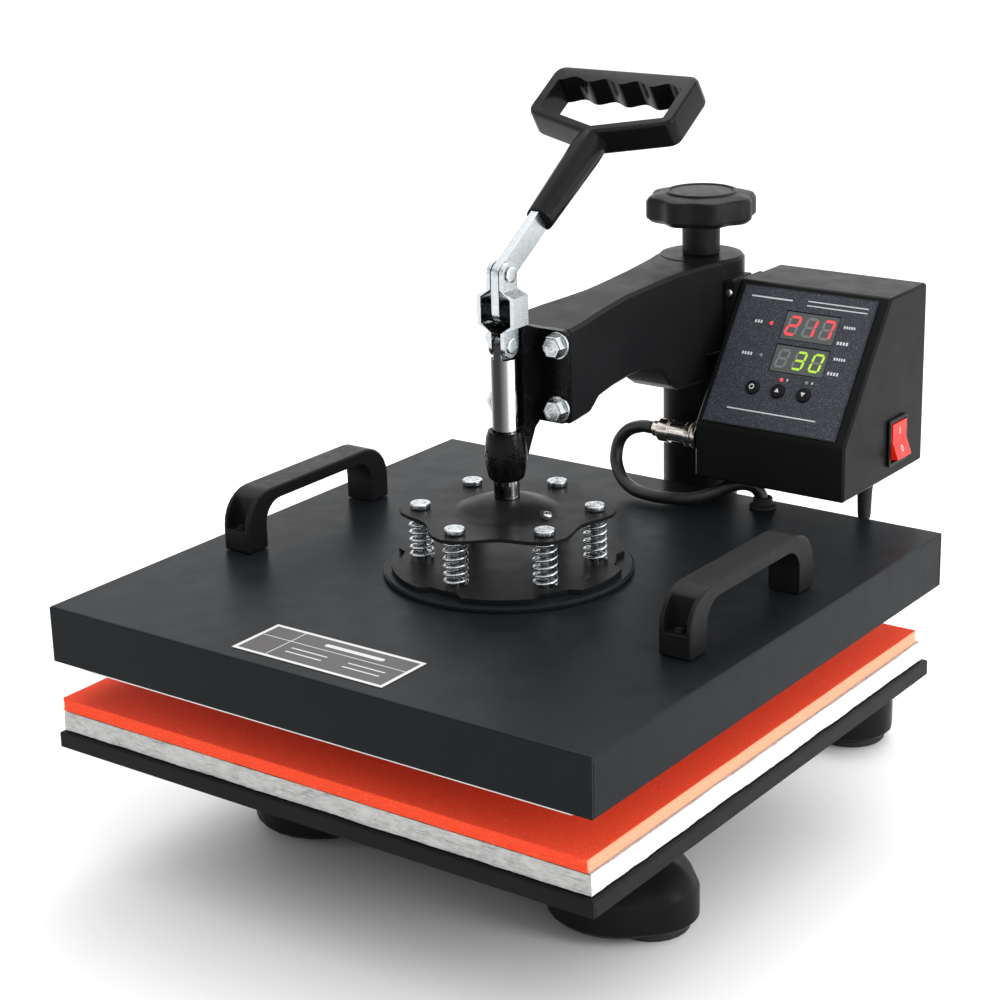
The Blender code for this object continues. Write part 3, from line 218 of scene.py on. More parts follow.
def cast_enamel(name):
    """Thick gloss enamel over a rough sand casting."""
    made = Finish(name, (0.003, 0.003, 0.0034), 0.16, Specular_IOR_Level=0.10)
    made.rough(made.span(made.noise(300, 3), 0.3, 0.7, 0.10, 0.24))
    made.bump(made.noise(320, 2), 0.00016)
    return made.bump(made.cells(620), 0.00008).material


def zinc_plate(name, tint, roughness, wear=0.06):
    """Bright plated steel with a faint spangle and fine drawn lines."""
    made = Finish(name, tint, roughness, 1.0)
    pale = tuple(min(1.0, part * 1.12) for part in tint)
    dim = tuple(part * 0.78 for part in tint)
    made.colour(made.mix(made.noise(380, 3), dim, pale))
    made.rough(made.span(made.noise(900, 2), 0.3, 0.7, roughness - wear, roughness + wear))
    return made.bump(made.noise(700, 3, (1, 1, 0.15)), 0.000012).material


def looking_along(made, axis, start, end):
    """How far the surface looks along an axis: nothing at start, full at end."""
    coordinates = made.node("ShaderNodeTexCoord")
    parts = made.node("ShaderNodeSeparateXYZ")
    made.link(coordinates.outputs["Normal"], parts.inputs["Vector"])
    return made.span(parts.outputs[axis], start, end)


def facing_right(made):
    """Full on the faces that look along +X, nothing on the others."""
    return looking_along(made, "X", 0.55, 0.75)


def chrome(name):
    """Hard chrome: a painted dark reflection on the front, a painted bright reflection on the
    right side, and a few hairlines.
    """
    made = Finish(name, (0.30, 0.30, 0.31), 0.06, 1.0)
    # Painted reflection: faces that look towards -Y are painted dark.
    painted_dark_reflection = made.mix(looking_along(made, "Y", -0.97, -0.62), (0.035, 0.035, 0.037),
                     (0.30, 0.30, 0.305))
    # Painted reflection: faces that look along +X are painted bright.
    made.colour(made.mix(looking_along(made, "X", 0.72, 0.90), painted_dark_reflection, (0.80, 0.79, 0.77)))
    made.rough(made.span(made.noise(1500, 2, (1, 1, 0.04)), 0.4, 0.75, 0.04, 0.14))
    return made.bump(made.noise(900, 2, (1, 1, 0.05)), 0.000004).material


def cast_aluminium(name):
    """The heating plate: cast aluminium with faint clouds and a fine grain on every face."""
    made = Finish(name, (0.70, 0.70, 0.69), 0.38, 1.0)
    made.colour(made.mix(made.noise(90, 5), (0.60, 0.60, 0.59), (0.80, 0.80, 0.79)))
    made.rough(made.span(made.noise(500, 4), 0.3, 0.7, 0.30, 0.50))
    return made.bump(made.noise(1300, 3), 0.00003).material


def moulded_plastic(name, colour, roughness, grain, depth, gloss=0.5):
    """Injection-moulded plastic with a spark-eroded grain."""
    made = Finish(name, colour, roughness, Specular_IOR_Level=gloss)
    light = tuple(part * 1.5 + 0.002 for part in colour)
    made.colour(made.mix(made.noise(45, 3), colour, light))
    made.rough(made.span(made.noise(150, 3), 0.3, 0.7, roughness - 0.05, roughness + 0.07))
    return made.bump(made.cells(grain), depth).material


def panel_film(name):
    """Printed polycarbonate film: near black, with a fine blue-grey sparkle."""
    made = Finish(name, (0.032, 0.036, 0.044), 0.36, Specular_IOR_Level=0.25)
    sparkle = made.span(made.noise(1500, 2), 0.54, 0.68)
    made.colour(made.mix(sparkle, (0.030, 0.034, 0.042), (0.125, 0.140, 0.170)))
    made.rough(made.span(sparkle, 0.0, 1.0, 0.42, 0.25))
    return made.bump(made.noise(1500, 2), 0.00002).material


def silicone_foam(name):
    """Orange-red foamed silicone: open pores on top darkened with painted shade, and a right side
    painted paler as if lit.
    """
    made = Finish(name, (0.85, 0.07, 0.025), 0.85, Specular_IOR_Level=0.2)
    pore_relief_and_shade = made.span(made.cells(1500), 0.05, 0.45)
    # Painted shade in the pore hollows, on top of their bump relief.
    skin = made.mix(pore_relief_and_shade, (0.62, 0.030, 0.012), (0.92, 0.075, 0.026))
    dusted = made.mix(made.span(made.noise(650, 3), 0.62, 0.80), skin, (0.95, 0.20, 0.10))
    # Painted light: the faces that look along +X are painted paler, as if lit from the right.
    painted_lit_right_side = made.mix(pore_relief_and_shade, (0.62, 0.22, 0.12), (0.82, 0.34, 0.205))
    made.colour(made.mix(facing_right(made), dusted, painted_lit_right_side))
    made.bump(pore_relief_and_shade, 0.00012)
    return made.bump(made.noise(240, 3), 0.0001).material


def grey_felt(name):
    """Needled wool felt: grey and white fibres in drifts, with its right side painted near white
    as if lit.
    """
    made = Finish(name, (0.55, 0.56, 0.56), 0.96, Specular_IOR_Level=0.1)
    drift = made.span(made.noise(75, 5, (1, 1, 1.6), 0.65), 0.33, 0.66)
    strands = made.noise(420, 4, (0.4, 0.4, 2.2), 0.7)
    flecks = made.span(made.noise(260, 4, None, 0.7), 0.62, 0.72)
    base = made.mix(drift, (0.27, 0.27, 0.27), (0.55, 0.55, 0.54))
    woven = made.mix(made.span(strands, 0.35, 0.65), base, (0.60, 0.60, 0.59))
    flecked = made.mix(made.math("MULTIPLY", flecks, 0.7), woven, (0.17, 0.17, 0.18))
    # Painted light: the faces that look along +X are painted near white, as if lit from the
    # right.
    made.colour(made.mix(made.math("MULTIPLY", facing_right(made), 0.85), flecked,
                         (0.86, 0.87, 0.86)))
    made.bump(strands, 0.0006)
    return made.bump(made.noise(1500, 3), 0.0002).material


def rubber(name):
    made = Finish(name, (0.012, 0.012, 0.013), 0.72, Specular_IOR_Level=0.3)
    made.colour(made.mix(made.noise(120, 5), (0.008, 0.008, 0.009), (0.026, 0.026, 0.027)))
    return made.bump(made.noise(800, 4), 0.00005).material


def cable_jacket(name):
    """Black PVC with the ghost of the cores' lay under it."""
    made = Finish(name, (0.010, 0.010, 0.011), 0.38)
    made.rough(made.span(made.noise(260, 3), 0.3, 0.7, 0.30, 0.48))
    return made.bump(made.noise(90, 3), 0.0002).material


def circuit_board(name):
    made = Finish(name, (0.010, 0.030, 0.016), 0.35)
    tracks = made.span(made.cells(300, (1, 3, 1)), 0.2, 0.24)
    return made.colour(made.mix(tracks, (0.010, 0.045, 0.022), (0.010, 0.020, 0.012))).material


def lit_red_plastic(name):
    """Translucent red with a lamp behind it."""
    made = Finish(name, (0.62, 0.008, 0.004), 0.25, Specular_IOR_Level=0.35,
                  Emission_Strength=0.22)
    glow = made.mix(made.noise(160, 2), (0.75, 0.010, 0.004), (1.0, 0.06, 0.015))
    made.link(glow, made.shader.inputs["Emission Color"])
    return made.bump(made.noise(500, 2), 0.00002).material


def lamp(name, colour, strength):
    """A lit segment or indicator, a little brighter in its middle drift."""
    made = Finish(name, colour, 0.3, Emission_Strength=strength)
    pale = tuple(min(1.0, part * 1.25 + 0.03) for part in colour)
    made.link(made.mix(made.noise(350, 2), colour, pale), made.shader.inputs["Emission Color"])
    return made.material


def printed(name, colour, roughness=0.45, metallic=0.0):
    """Screen print, with the slight unevenness of ink."""
    made = Finish(name, colour, roughness, metallic)
    made.colour(made.mix(made.noise(1200, 3), tuple(part * 0.86 for part in colour), colour))
    return made.bump(made.noise(1600, 2), 0.000008).material


def floor_paper(name):
    made = Finish(name, (0.93, 0.93, 0.93), 0.9, Specular_IOR_Level=0.1)
    made.colour(made.mix(made.noise(3, 4), (0.90, 0.90, 0.90), (0.94, 0.94, 0.94)))
    return made.material


FINISHES = {
    "black_powder": powder_coat("black_powder_coat", (0.0072, 0.0075, 0.0081),
                                (0.0110, 0.0114, 0.0121), 0.36),
    "cover_paint": powder_coat("slate_cover_paint", (0.0076, 0.0094, 0.0110),
                               (0.0106, 0.0128, 0.0150), 0.33, 1500, 0.000012),
    "black_casting": cast_enamel("gloss_cast_enamel"),
    "zinc_steel": zinc_plate("zinc_plated_steel", (0.58, 0.61, 0.63), 0.24),
    "chrome_rod": chrome("hard_chrome"),
    "plate_aluminium": cast_aluminium("cast_plate_aluminium"),
    "nickel": zinc_plate("nickel_plate", (0.74, 0.70, 0.64), 0.18),
    "gloss_black_plastic": moulded_plastic("gloss_black_plastic", (0.004, 0.004, 0.0045),
                                           0.20, 700, 0.000008, 0.12),
    "matt_black_plastic": moulded_plastic("grained_black_plastic", (0.006, 0.006, 0.0066),
                                          0.42, 1400, 0.00003, 0.12),
    "panel_film": panel_film("speckled_panel_film"),
    "switch_red": lit_red_plastic("lit_red_plastic"),
    "black_rubber": rubber("black_rubber"),
    "silicone_foam": silicone_foam("orange_silicone_foam"),
    "grey_felt": grey_felt("grey_wool_felt"),
    "circuit_board": circuit_board("circuit_board_green"),
    "cable_jacket": cable_jacket("black_cable_jacket"),
    "red_lamp": lamp("red_segment_light", (0.75, 0.035, 0.045), 0.85),
    "green_lamp": lamp("green_segment_light", (0.30, 0.48, 0.02), 0.75),
    "dead_segment": printed("unlit_segment_grey", (0.20, 0.21, 0.21), 0.5),
    "display_grey": printed("display_window_grey", (0.085, 0.095, 0.095), 0.35),
    "white_print": printed("white_print", (0.72, 0.72, 0.72)),
    "silver_print": printed("silver_print", (0.62, 0.62, 0.62), 0.35, 0.2),
    "label_print": printed("label_brown_black", (0.030, 0.026, 0.025), 0.35),
    # Painted shade: one dark finish for flat stand-ins of holes, slots, screw recesses and the
    # panel's edge.
    "shadow": rubber("dark_recess"),
}


# ---- Shapes -------------------------------------------------------------------------

EASED_ANGLE = radians(32)
SHARP_ANGLE = radians(38)
FLAT_ANGLE = radians(0.4)
WELD_DISTANCE = 2e-6

def arc(centre, radius, start, end, steps):
    """Points on an arc, both ends included."""
    turns = [start + (end - start) * i / steps for i in range(steps + 1)]
    return [(centre[0] + radius * cos(a), centre[1] + radius * sin(a)) for a in turns]


def rectangle(width, height, corner=0.0, steps=4):
    """A rectangle about the origin, with round corners if a radius is given."""
    x, y = width / 2 - corner, height / 2 - corner
    if corner == 0:
        return [(-x, -y), (x, -y), (x, y), (-x, y)]
    return (arc((x, -y), corner, -pi / 2, 0, steps) + arc((x, y), corner, 0, pi / 2, steps)
            + arc((-x, y), corner, pi / 2, pi, steps)
            + arc((-x, -y), corner, pi, 3 * pi / 2, steps))


def faced_out(bm):
    bmesh.ops.recalc_face_normals(bm, faces=bm.faces)
    return bm


def loft(rings, looped=False):
    """A solid through rings of as many points each, capped or looped back to the first."""
    bm = bmesh.new()
    made = [[bm.verts.new(point) for point in ring] for ring in rings]
    for first, second in zip(made, made[1:] + made[:1] if looped else made[1:]):
        for i in range(len(first)):
            j = (i + 1) % len(first)
            bm.faces.new((first[i], first[j], second[j], second[i]))
    if not looped:
        bm.faces.new(made[0])
        bm.faces.new(made[-1])
    return faced_out(bm)


def prism(outline, low, high):
    """An outline pushed up from one height to another."""
    return loft([[(*point, z) for point in outline] for z in (low, high)])


def turned(profile, segments=32):
    """A turned solid about Z from (radius, z) points; it starts and ends on the axis."""
    bm = bmesh.new()
    rings = []
    for radius, z in profile:
        count = segments if radius > 0 else 1
        turns = [2 * pi * i / count for i in range(count)]
        rings.append([bm.verts.new((radius * cos(a), radius * sin(a), z)) for a in turns])
    for first, second in zip(rings, rings[1:]):
        for i in range(segments):
            j = (i + 1) % segments
            corners = (first[i % len(first)], first[j % len(first)],
                       second[j % len(second)], second[i % len(second)])
            bm.faces.new(list(dict.fromkeys(corners)))
    return faced_out(bm)


def ring_solid(profile, segments=32):
    """A turned solid whose profile closes on itself, clear of the axis."""
    turns = [2 * pi * i / segments for i in range(segments)]
    return loft([[(radius * cos(a), radius * sin(a), z) for radius, z in profile]
                 for a in turns], looped=True)


def joined(*parts):
    """Several separate bodies as one mesh."""
    whole = bmesh.new()
    for part in parts:
        mesh = bpy.data.meshes.new("part")
        part.to_mesh(mesh)
        part.free()
        whole.from_mesh(mesh)
        bpy.data.meshes.remove(mesh)
    return whole


def laid(bm, matrix):
    bmesh.ops.transform(bm, matrix=matrix, verts=bm.verts)
    return bm


def shifted(bm, x=0.0, y=0.0, z=0.0):
    return laid(bm, Matrix.Translation((x, y, z)))


def facing(axis, place):
    """Lays a solid's Z along an axis, with its origin at a place."""
    return Matrix.Translation(place) @ Vector(axis).to_track_quat("Z", "Y").to_matrix().to_4x4()


def shape_modifiers(piece, bevel, segments):
    """Rounds the edges that are sharper than an angle, and shades the flats flat."""
    if bevel:
        edges = piece.modifiers.new("edges", "BEVEL")
        edges.width = bevel
        edges.segments = segments
        edges.limit_method = "ANGLE"
        edges.angle_limit = EASED_ANGLE
    shading = piece.modifiers.new("shading", "NODES")
    shading.node_group = sharp_by_angle()
    normals = piece.modifiers.new("normals", "WEIGHTED_NORMAL")
    normals.keep_sharp = True


def sharp_by_angle():
    """A node group that shades smooth, apart from edges over the sharp angle."""
    name = "sharp_by_angle"
    if name in bpy.data.node_groups:
        return bpy.data.node_groups[name]
    group = geometry_group(name)
    angle = group.nodes.new("GeometryNodeInputMeshEdgeAngle")
    test = group.nodes.new("FunctionNodeCompare")
    test.operation = "LESS_THAN"
    test.inputs[1].default_value = SHARP_ANGLE
    edges = group.nodes.new("GeometryNodeSetShadeSmooth")
    edges.domain = "EDGE"
    faces = group.nodes.new("GeometryNodeSetShadeSmooth")
    group.links.new(angle.outputs["Unsigned Angle"], test.inputs[0])
    group.links.new(test.outputs["Result"], edges.inputs["Shade Smooth"])
    chain(group, faces, edges)
    return group


def clean_mesh():
    """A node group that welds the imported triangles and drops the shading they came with."""
    name = "clean_mesh"
    if name in bpy.data.node_groups:
        return bpy.data.node_groups[name]
    group = geometry_group(name)
    weld = group.nodes.new("GeometryNodeMergeByDistance")
    weld.inputs["Distance"].default_value = WELD_DISTANCE
    drop = group.nodes.new("GeometryNodeRemoveAttribute")
    drop.inputs["Name"].default_value = "custom_normal"
    faces = group.nodes.new("GeometryNodeSetShadeSmooth")
    edges = group.nodes.new("GeometryNodeSetShadeSmooth")
    edges.domain = "EDGE"
    chain(group, weld, drop, faces, edges)
    return group


def geometry_group(name):
    group = bpy.data.node_groups.new(name, "GeometryNodeTree")
    group.interface.new_socket("Geometry", in_out="INPUT", socket_type="NodeSocketGeometry")
    group.interface.new_socket("Geometry", in_out="OUTPUT", socket_type="NodeSocketGeometry")
    return group


def chain(group, *steps):
    """Links nodes one after another between the group's input and output."""
    last = group.nodes.new("NodeGroupInput").outputs[0]
    for step in steps:
        group.links.new(last, step.inputs[0])
        last = step.outputs[0]
    group.links.new(last, group.nodes.new("NodeGroupOutput").inputs[0])


def dress(node, finish, bevel=0.0, segments=2):
    """A CAD node in its finish, with its edges eased."""
    piece = NODES[node]
    piece.data.materials.clear()
    piece.data.materials.append(FINISHES[finish])
    clean = piece.modifiers.new("clean", "NODES")
    clean.node_group = clean_mesh()
    flats = piece.modifiers.new("flats", "DECIMATE")
    flats.decimate_type = "DISSOLVE"
    flats.angle_limit = FLAT_ANGLE
    shape_modifiers(piece, bevel, segments)


def new_object(name, data, finish, body):
    made = bpy.data.objects.new(name, data)
    bpy.context.scene.collection.objects.link(made)
    data.materials.append(FINISHES[finish])
    if body:
        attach(made, body)
    return made


def add(name, bm, finish, body, bevel=0.0, segments=2, replaces=()):
    """A new piece of the object, from a solid made where it stands."""
    mesh = bpy.data.meshes.new(name)
    bm.to_mesh(mesh)
    bm.free()
    mesh.shade_smooth()
    made = new_object(name, mesh, finish, body)
    shape_modifiers(made, bevel, segments)
    if replaces:
        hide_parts(*replaces)
    return made


def smooth_step(t):
    t = min(max(t, 0.0), 1.0)
    return t * t * (3 - 2 * t)


def curve_through(name, points, radius, finish, body=None):
    """A round tube along a smooth curve through the points."""
    curve = bpy.data.curves.new(name, "CURVE")
    curve.dimensions = "3D"
    curve.bevel_depth = radius
    curve.bevel_resolution = 4
    curve.resolution_u = 6
    curve.use_fill_caps = True
    spline = curve.splines.new("BEZIER")
    spline.bezier_points.add(len(points) - 1)
    for knot, place in zip(spline.bezier_points, points):
        knot.co = place
        knot.handle_left_type = "AUTO"
        knot.handle_right_type = "AUTO"
    return new_object(name, curve, finish, body)


def as_mesh(piece):
    """The curve's tube as a mesh object of the same name, not riding on anything yet."""
    name = piece.name
    evaluated = piece.evaluated_get(bpy.context.evaluated_depsgraph_get())
    mesh = bpy.data.meshes.new_from_object(evaluated)
    bpy.data.objects.remove(piece)
    made = bpy.data.objects.new(name, mesh)
    bpy.context.scene.collection.objects.link(made)
    bm = bmesh.new()
    bm.from_mesh(mesh)
    bmesh.ops.remove_doubles(bm, verts=bm.verts, dist=1e-6)
    bm.to_mesh(mesh)
    bm.free()
    mesh.shade_smooth()
    return made


# ---- Cords --------------------------------------------------------------------------

MAINS_RADIUS = 0.0035
MAINS_ROUTE = (
    (0.130, 0.2140, 0.1716), (0.130, 0.2142, 0.1580), (0.1295, 0.2170, 0.1420),
    (0.1280, 0.2245, 0.1220), (0.1255, 0.2360, 0.1010), (0.1225, 0.2500, 0.0790),
    (0.1190, 0.2650, 0.0560), (0.1150, 0.2800, 0.0340), (0.1100, 0.2950, 0.0155),
    (0.1030, 0.3110, 0.0055), (0.0930, 0.3290, 0.0037), (0.0780, 0.3480, 0.0037),
    (0.0590, 0.3660, 0.0037), (0.0390, 0.3785, 0.0037), (0.0180, 0.3870, 0.0037),
    (-0.0030, 0.3910, 0.0037), (-0.0232, 0.3915, 0.0037),
)
COIL_RADIUS = 0.0455
COIL_TURNS = 4
TURN_POINTS = 16
INNERMOST_TURN = 1.92
CLIMB = (1.67, 2.33)
HEATER_RADIUS = 0.00425
HEATER_ROUTE = (
    (-0.0003, 0.167, 0.2240), (-0.0120, 0.1670, 0.2232), (-0.0240, 0.1662, 0.2165),
    (-0.0285, 0.1640, 0.2050), (-0.0240, 0.1590, 0.1930), (-0.0120, 0.1540, 0.1852),
    (0.0030, 0.1510, 0.1832), (0.0200, 0.1520, 0.1832), (0.0340, 0.1565, 0.1840),
    (0.0470, 0.1640, 0.1880), (0.0580, 0.1715, 0.1935), (0.0675, 0.1780, 0.1925),
    (0.0720, 0.1812, 0.1860), (0.0730, 0.1820, 0.1785),
)


def coil_points():
    """The coil's turns: a spiral in along the floor, then up and out on top of it."""
    pitch = 2 * MAINS_RADIUS
    low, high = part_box("cord_coil")
    middle = Vector(((low.x + high.x) / 2, (low.y + high.y) / 2, MAINS_ROUTE[-1][2]))
    made = []
    for i in range(1, COIL_TURNS * TURN_POINTS + 1):
        turns = i / TURN_POINTS
        inward = min(turns, INNERMOST_TURN) - max(turns - INNERMOST_TURN, 0.0)
        radius = COIL_RADIUS - pitch * inward
        rise = pitch * smooth_step((turns - CLIMB[0]) / (CLIMB[1] - CLIMB[0]))
        angle = -pi / 2 - 2 * pi * turns
        made.append(middle + Vector((radius * cos(angle), radius * sin(angle), rise)))
    return made


def length_of(curve_object):
    """The length of a curve object's centre line."""
    bare = curve_object.data.copy()
    bare.bevel_depth = 0
    probe = bpy.data.objects.new("probe", bare)
    bpy.context.scene.collection.objects.link(probe)
    evaluated = probe.evaluated_get(bpy.context.evaluated_depsgraph_get())
    points = [vert.co.copy() for vert in evaluated.to_mesh().vertices]
    evaluated.to_mesh_clear()
    bpy.data.objects.remove(probe)
    bpy.data.curves.remove(bare)
    return sum((b - a).length for a, b in zip(points, points[1:]))


def add_mains_cord():
    """The mains cord from under the control box to its coil and plug behind the press."""
    tail_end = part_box("mains_plug")[1]
    route = [press(*place) for place in MAINS_ROUTE] + coil_points()
    last = route[-1]
    plug_entry = Vector((tail_end.x + 0.0005, press(0, MAINS_ROUTE[-1][1], 0).y, last.z))
    route += [last.lerp(plug_entry, 0.5), plug_entry]
    cord = curve_through("mains_cord_jacket", route, MAINS_RADIUS, "cable_jacket", "arm")
    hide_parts("mains_cord", "cord_coil")
    dress("mains_plug", "matt_black_plastic", 0.0008)
    round(length_of(cord), 3)
    add_strain_relief()


def add_strain_relief():
    """The tapered relief that the cord hangs from, pressed into the case."""
    low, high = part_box("cord_gland")
    middle = box_centre("cord_gland")
    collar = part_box("box_shell")[0].z
    profile = [(0, high.z), (0.0050, high.z), (0.0050, collar - 0.0003),
               (0.0072, collar - 0.0003), (0.0075, collar - 0.0008), (0.0075, collar - 0.0022),
               (0.0068, collar - 0.0028), (0.0054, collar - 0.0040), (0.0048, collar - 0.0100),
               (0.0043, low.z + 0.0020), (0.0040, low.z), (0, low.z)]
    relief = shifted(turned(profile, 28), middle.x, middle.y)
    return add("cord_strain_relief", relief, "black_rubber", "arm",
               replaces=["cord_gland"])


def add_heater_cable():
    """The thick cable from the box's connector down to the cover, and its grommet."""
    route = [press(*place) for place in HEATER_ROUTE]
    cable = as_mesh(curve_through("heater_cable_jacket", route, HEATER_RADIUS, "cable_jacket"))
    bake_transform(cable)
    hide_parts("heater_cable")
    grommet = ring_solid([(0.0044, -0.0002), (0.0088, -0.0002), (0.0088, 0.0014),
                          (0.0066, 0.0024), (0.0062, 0.0062), (0.0056, 0.0068),
                          (0.0044, 0.0068)], 32)
    add("cable_grommet", shifted(grommet, *press(*HEATER_ROUTE[-1][:2], COVER_TOP + 0.0003)),
        "black_rubber", "platen")


# ---- Pads ---------------------------------------------------------------------------

PAD_CORNER = 0.0012
PAD_SPACING = 0.002
DRIFTS_PER_METRE = 60
NICKS_PER_METRE = 420


def pad(node, waviness, profile, seed):
    """A square pad with the node's size whose sides waver as a cut edge does.

    The profile lists (how far in, how far up) round the edge, from the bottom to the top.
    """
    low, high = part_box(node)
    half = Vector((high.x - low.x, high.y - low.y)) / 2
    middle = box_centre(node)
    outline = []
    for (ax, ay), (bx, by) in (((1, -1), (1, 1)), ((1, 1), (-1, 1)),
                               ((-1, 1), (-1, -1)), ((-1, -1), (1, -1))):
        first = Vector((ax * half.x, ay * half.y))
        last = Vector((bx * half.x, by * half.y))
        way = (last - first).normalized()
        count = int((last - first).length / PAD_SPACING)
        outward = Vector((way.y, -way.x))
        for i in range(count + 1):
            along = PAD_CORNER + ((last - first).length - 2 * PAD_CORNER) * i / count
            outline.append((first + way * along, outward))
    rings = []
    for inset, up in profile:
        ring = []
        for place, outward in outline:
            z = low.z + (high.z - low.z) * up
            drift = noise.noise(Vector((place.x, place.y, z + seed)) * DRIFTS_PER_METRE)
            fine = noise.noise(Vector((place.x, place.y, z + seed)) * NICKS_PER_METRE)
            move = waviness * (0.65 * drift + 0.35 * fine) - waviness * 0.5 - inset
            point = place + outward * move
            ring.append((point.x + middle.x, point.y + middle.y, z))
        rings.append(ring)
    return loft(rings)


def add_pads():
    """The felt, rough-sided and a little uneven, and the foam mat, cut cleaner."""
    felt = pad("felt_pad", 0.0011, ((0.0011, 0), (0.0002, 0.05), (0, 0.2), (0.0002, 0.38),
                                   (0, 0.55), (0.0001, 0.75), (0.0003, 0.93), (0.0010, 1)), 3.1)
    piece = add("wool_felt_pad", felt, "grey_felt", "base", replaces=["felt_pad"])
    mat = pad("silicone_mat", 0.0004, ((0.0003, 0), (0, 0.06), (0.0005, 0.35), (0.0006, 0.6),
                                       (0.0002, 0.9), (0.0001, 0.95), (0.0005, 1)), 7.7)
    piece = add("foam_mat", mat, "silicone_foam", "base",
                replaces=["silicone_mat"])


# ---- Springs, bolts and screws ------------------------------------------------------

SPRING_WIRE = 0.0010
SPRING_TURNS = 6.5
SPRING_COUNT = 6
FLANGE_BOLTS = 4
STEPS_PER_TURN = 28
WIRE_SIDES = 10
CLOSED_TURNS = 0.8


def spring_mesh(node):
    """A coil spring with its end turns closed up, in the node's space."""
    low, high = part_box(node)
    middle = box_centre(node)
    radius = (high.x - low.x) / 2 - SPRING_WIRE
    steps = int(SPRING_TURNS * STEPS_PER_TURN)
    height = high.z - low.z - 2 * SPRING_WIRE
    closed_share = CLOSED_TURNS / SPRING_TURNS
    closed_rise = 2 * SPRING_WIRE / height * CLOSED_TURNS
    rings = []
    for i in range(steps + 1):
        t = i / steps
        if t < closed_share:
            rise = closed_rise * t / closed_share
        elif t > 1 - closed_share:
            rise = 1 - closed_rise * (1 - t) / closed_share
        else:
            open_share = (t - closed_share) / (1 - 2 * closed_share)
            rise = closed_rise + (1 - 2 * closed_rise) * open_share
        turn = 2 * pi * SPRING_TURNS * t
        out = Vector((cos(turn), sin(turn), 0))
        centre = Vector((middle.x, middle.y, low.z + SPRING_WIRE + height * rise)) + out * radius
        turns = [2 * pi * k / WIRE_SIDES for k in range(WIRE_SIDES)]
        rings.append([centre + (out * cos(a) + Z * sin(a)) * SPRING_WIRE for a in turns])
    return loft(rings)


def add_springs():
    for i in range(1, SPRING_COUNT + 1):
        node = f"platen_spring_{i}"
        spring = add(f"compression_spring_{i}", spring_mesh(node), "zinc_steel", None)
        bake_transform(spring)
        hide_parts(node)


def centre_mark(radius, depth):
    """A small raised ring and pip, as a pressed bolt head carries."""
    ring = ring_solid([(radius * 0.55, 0), (radius * 0.60, depth), (radius * 0.72, depth),
                       (radius * 0.77, 0)], 24)
    pip = turned([(0, 0), (radius * 0.22, 0), (radius * 0.16, depth), (0, depth)], 16)
    return joined(ring, pip)


def add_bolt_marks():
    """The rings pressed into the heads of the star plate's and the flange's bolts."""
    for i in range(1, SPRING_COUNT + 1):
        place = box_centre(f"shoulder_bolt_{i}")
        place.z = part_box(f"shoulder_bolt_{i}")[1].z
        add(f"shoulder_bolt_mark_{i}", laid(centre_mark(0.0050, 0.00025), facing(Z, place)),
            "zinc_steel", "platen")
    for i in range(1, FLANGE_BOLTS + 1):
        place = box_centre(f"bracket_bolt_{i}")
        place.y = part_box(f"bracket_bolt_{i}")[0].y
        add(f"bracket_bolt_mark_{i}", laid(centre_mark(0.0058, 0.0003), facing(-Y, place)),
            "zinc_steel", "arm")


def screw_head(radius, height):
    """A pan head, flat on top."""
    return turned([(0, 0), (radius, 0), (radius, height * 0.4), (radius * 0.85, height * 0.8),
                   (radius * 0.5, height), (0, height)], 28)


def cross_recess_shade_bars(radius, z):
    """Two crossed bars just proud of the head, one a hair above the other; they carry painted
    shade in place of the recess.
    """
    bars = [prism(rectangle(radius * 1.2, radius * 0.26), z - 0.0001, z + 0.00012),
            prism(rectangle(radius * 0.26, radius * 1.2), z - 0.0001, z + 0.00013)]
    return joined(*bars)


def add_screw(name, place, axis, radius, height, body, finish="zinc_steel"):
    """A screw head on a face, with painted shade in place of its cross recess."""
    add(name, laid(screw_head(radius, height), facing(axis, place)), finish, body)
    # Painted shade: dark bars stand in for the recess.
    add(f"{name}_recess", laid(cross_recess_shade_bars(radius, height), facing(axis, place)), "shadow",
        body)


HANDLE_WELL = (0.0058, 0.0141)
LIP_SCREW = (0.0030, 0.0075)
BACK_SCREW = (0.007, 0.008)
DOME_SLOPE = Vector((0.42, -0.03, 0.91))
DOME_SCREW = press(0.0302, -0.0010, 0.2178)
PLATE_SLOTS = (("first", 0.059, -0.003, 88), ("second", 0.051, -0.031, 60))


def add_screws():
    """Screws in the handles' wells, on the box bracket's lip and on the box's back."""
    for side in ("left", "right"):
        low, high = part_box(f"handle_{side}")
        x = (low.x + high.x) / 2
        inset, up = HANDLE_WELL
        for end, y in (("front", low.y + inset), ("rear", high.y - inset)):
            add_screw(f"handle_screw_{side}_{end}", Vector((x, y, low.z + up)), Z,
                      0.0035, 0.002, "platen", "black_powder")
    low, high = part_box("box_bracket")
    lip = Vector((low.x + LIP_SCREW[0], low.y, high.z - LIP_SCREW[1]))
    add_screw("bracket_lip_screw", lip, -Y, 0.0028, 0.0016, "arm")
    low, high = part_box("box_back")
    inset, up = BACK_SCREW
    for row, z in (("low", low.z + up), ("high", high.z - up)):
        for side, x in (("left", low.x + inset), ("right", high.x - inset)):
            add_screw(f"back_screw_{row}_{side}", Vector((x, high.y, z)), Y,
                      0.0030, 0.0018, "arm")


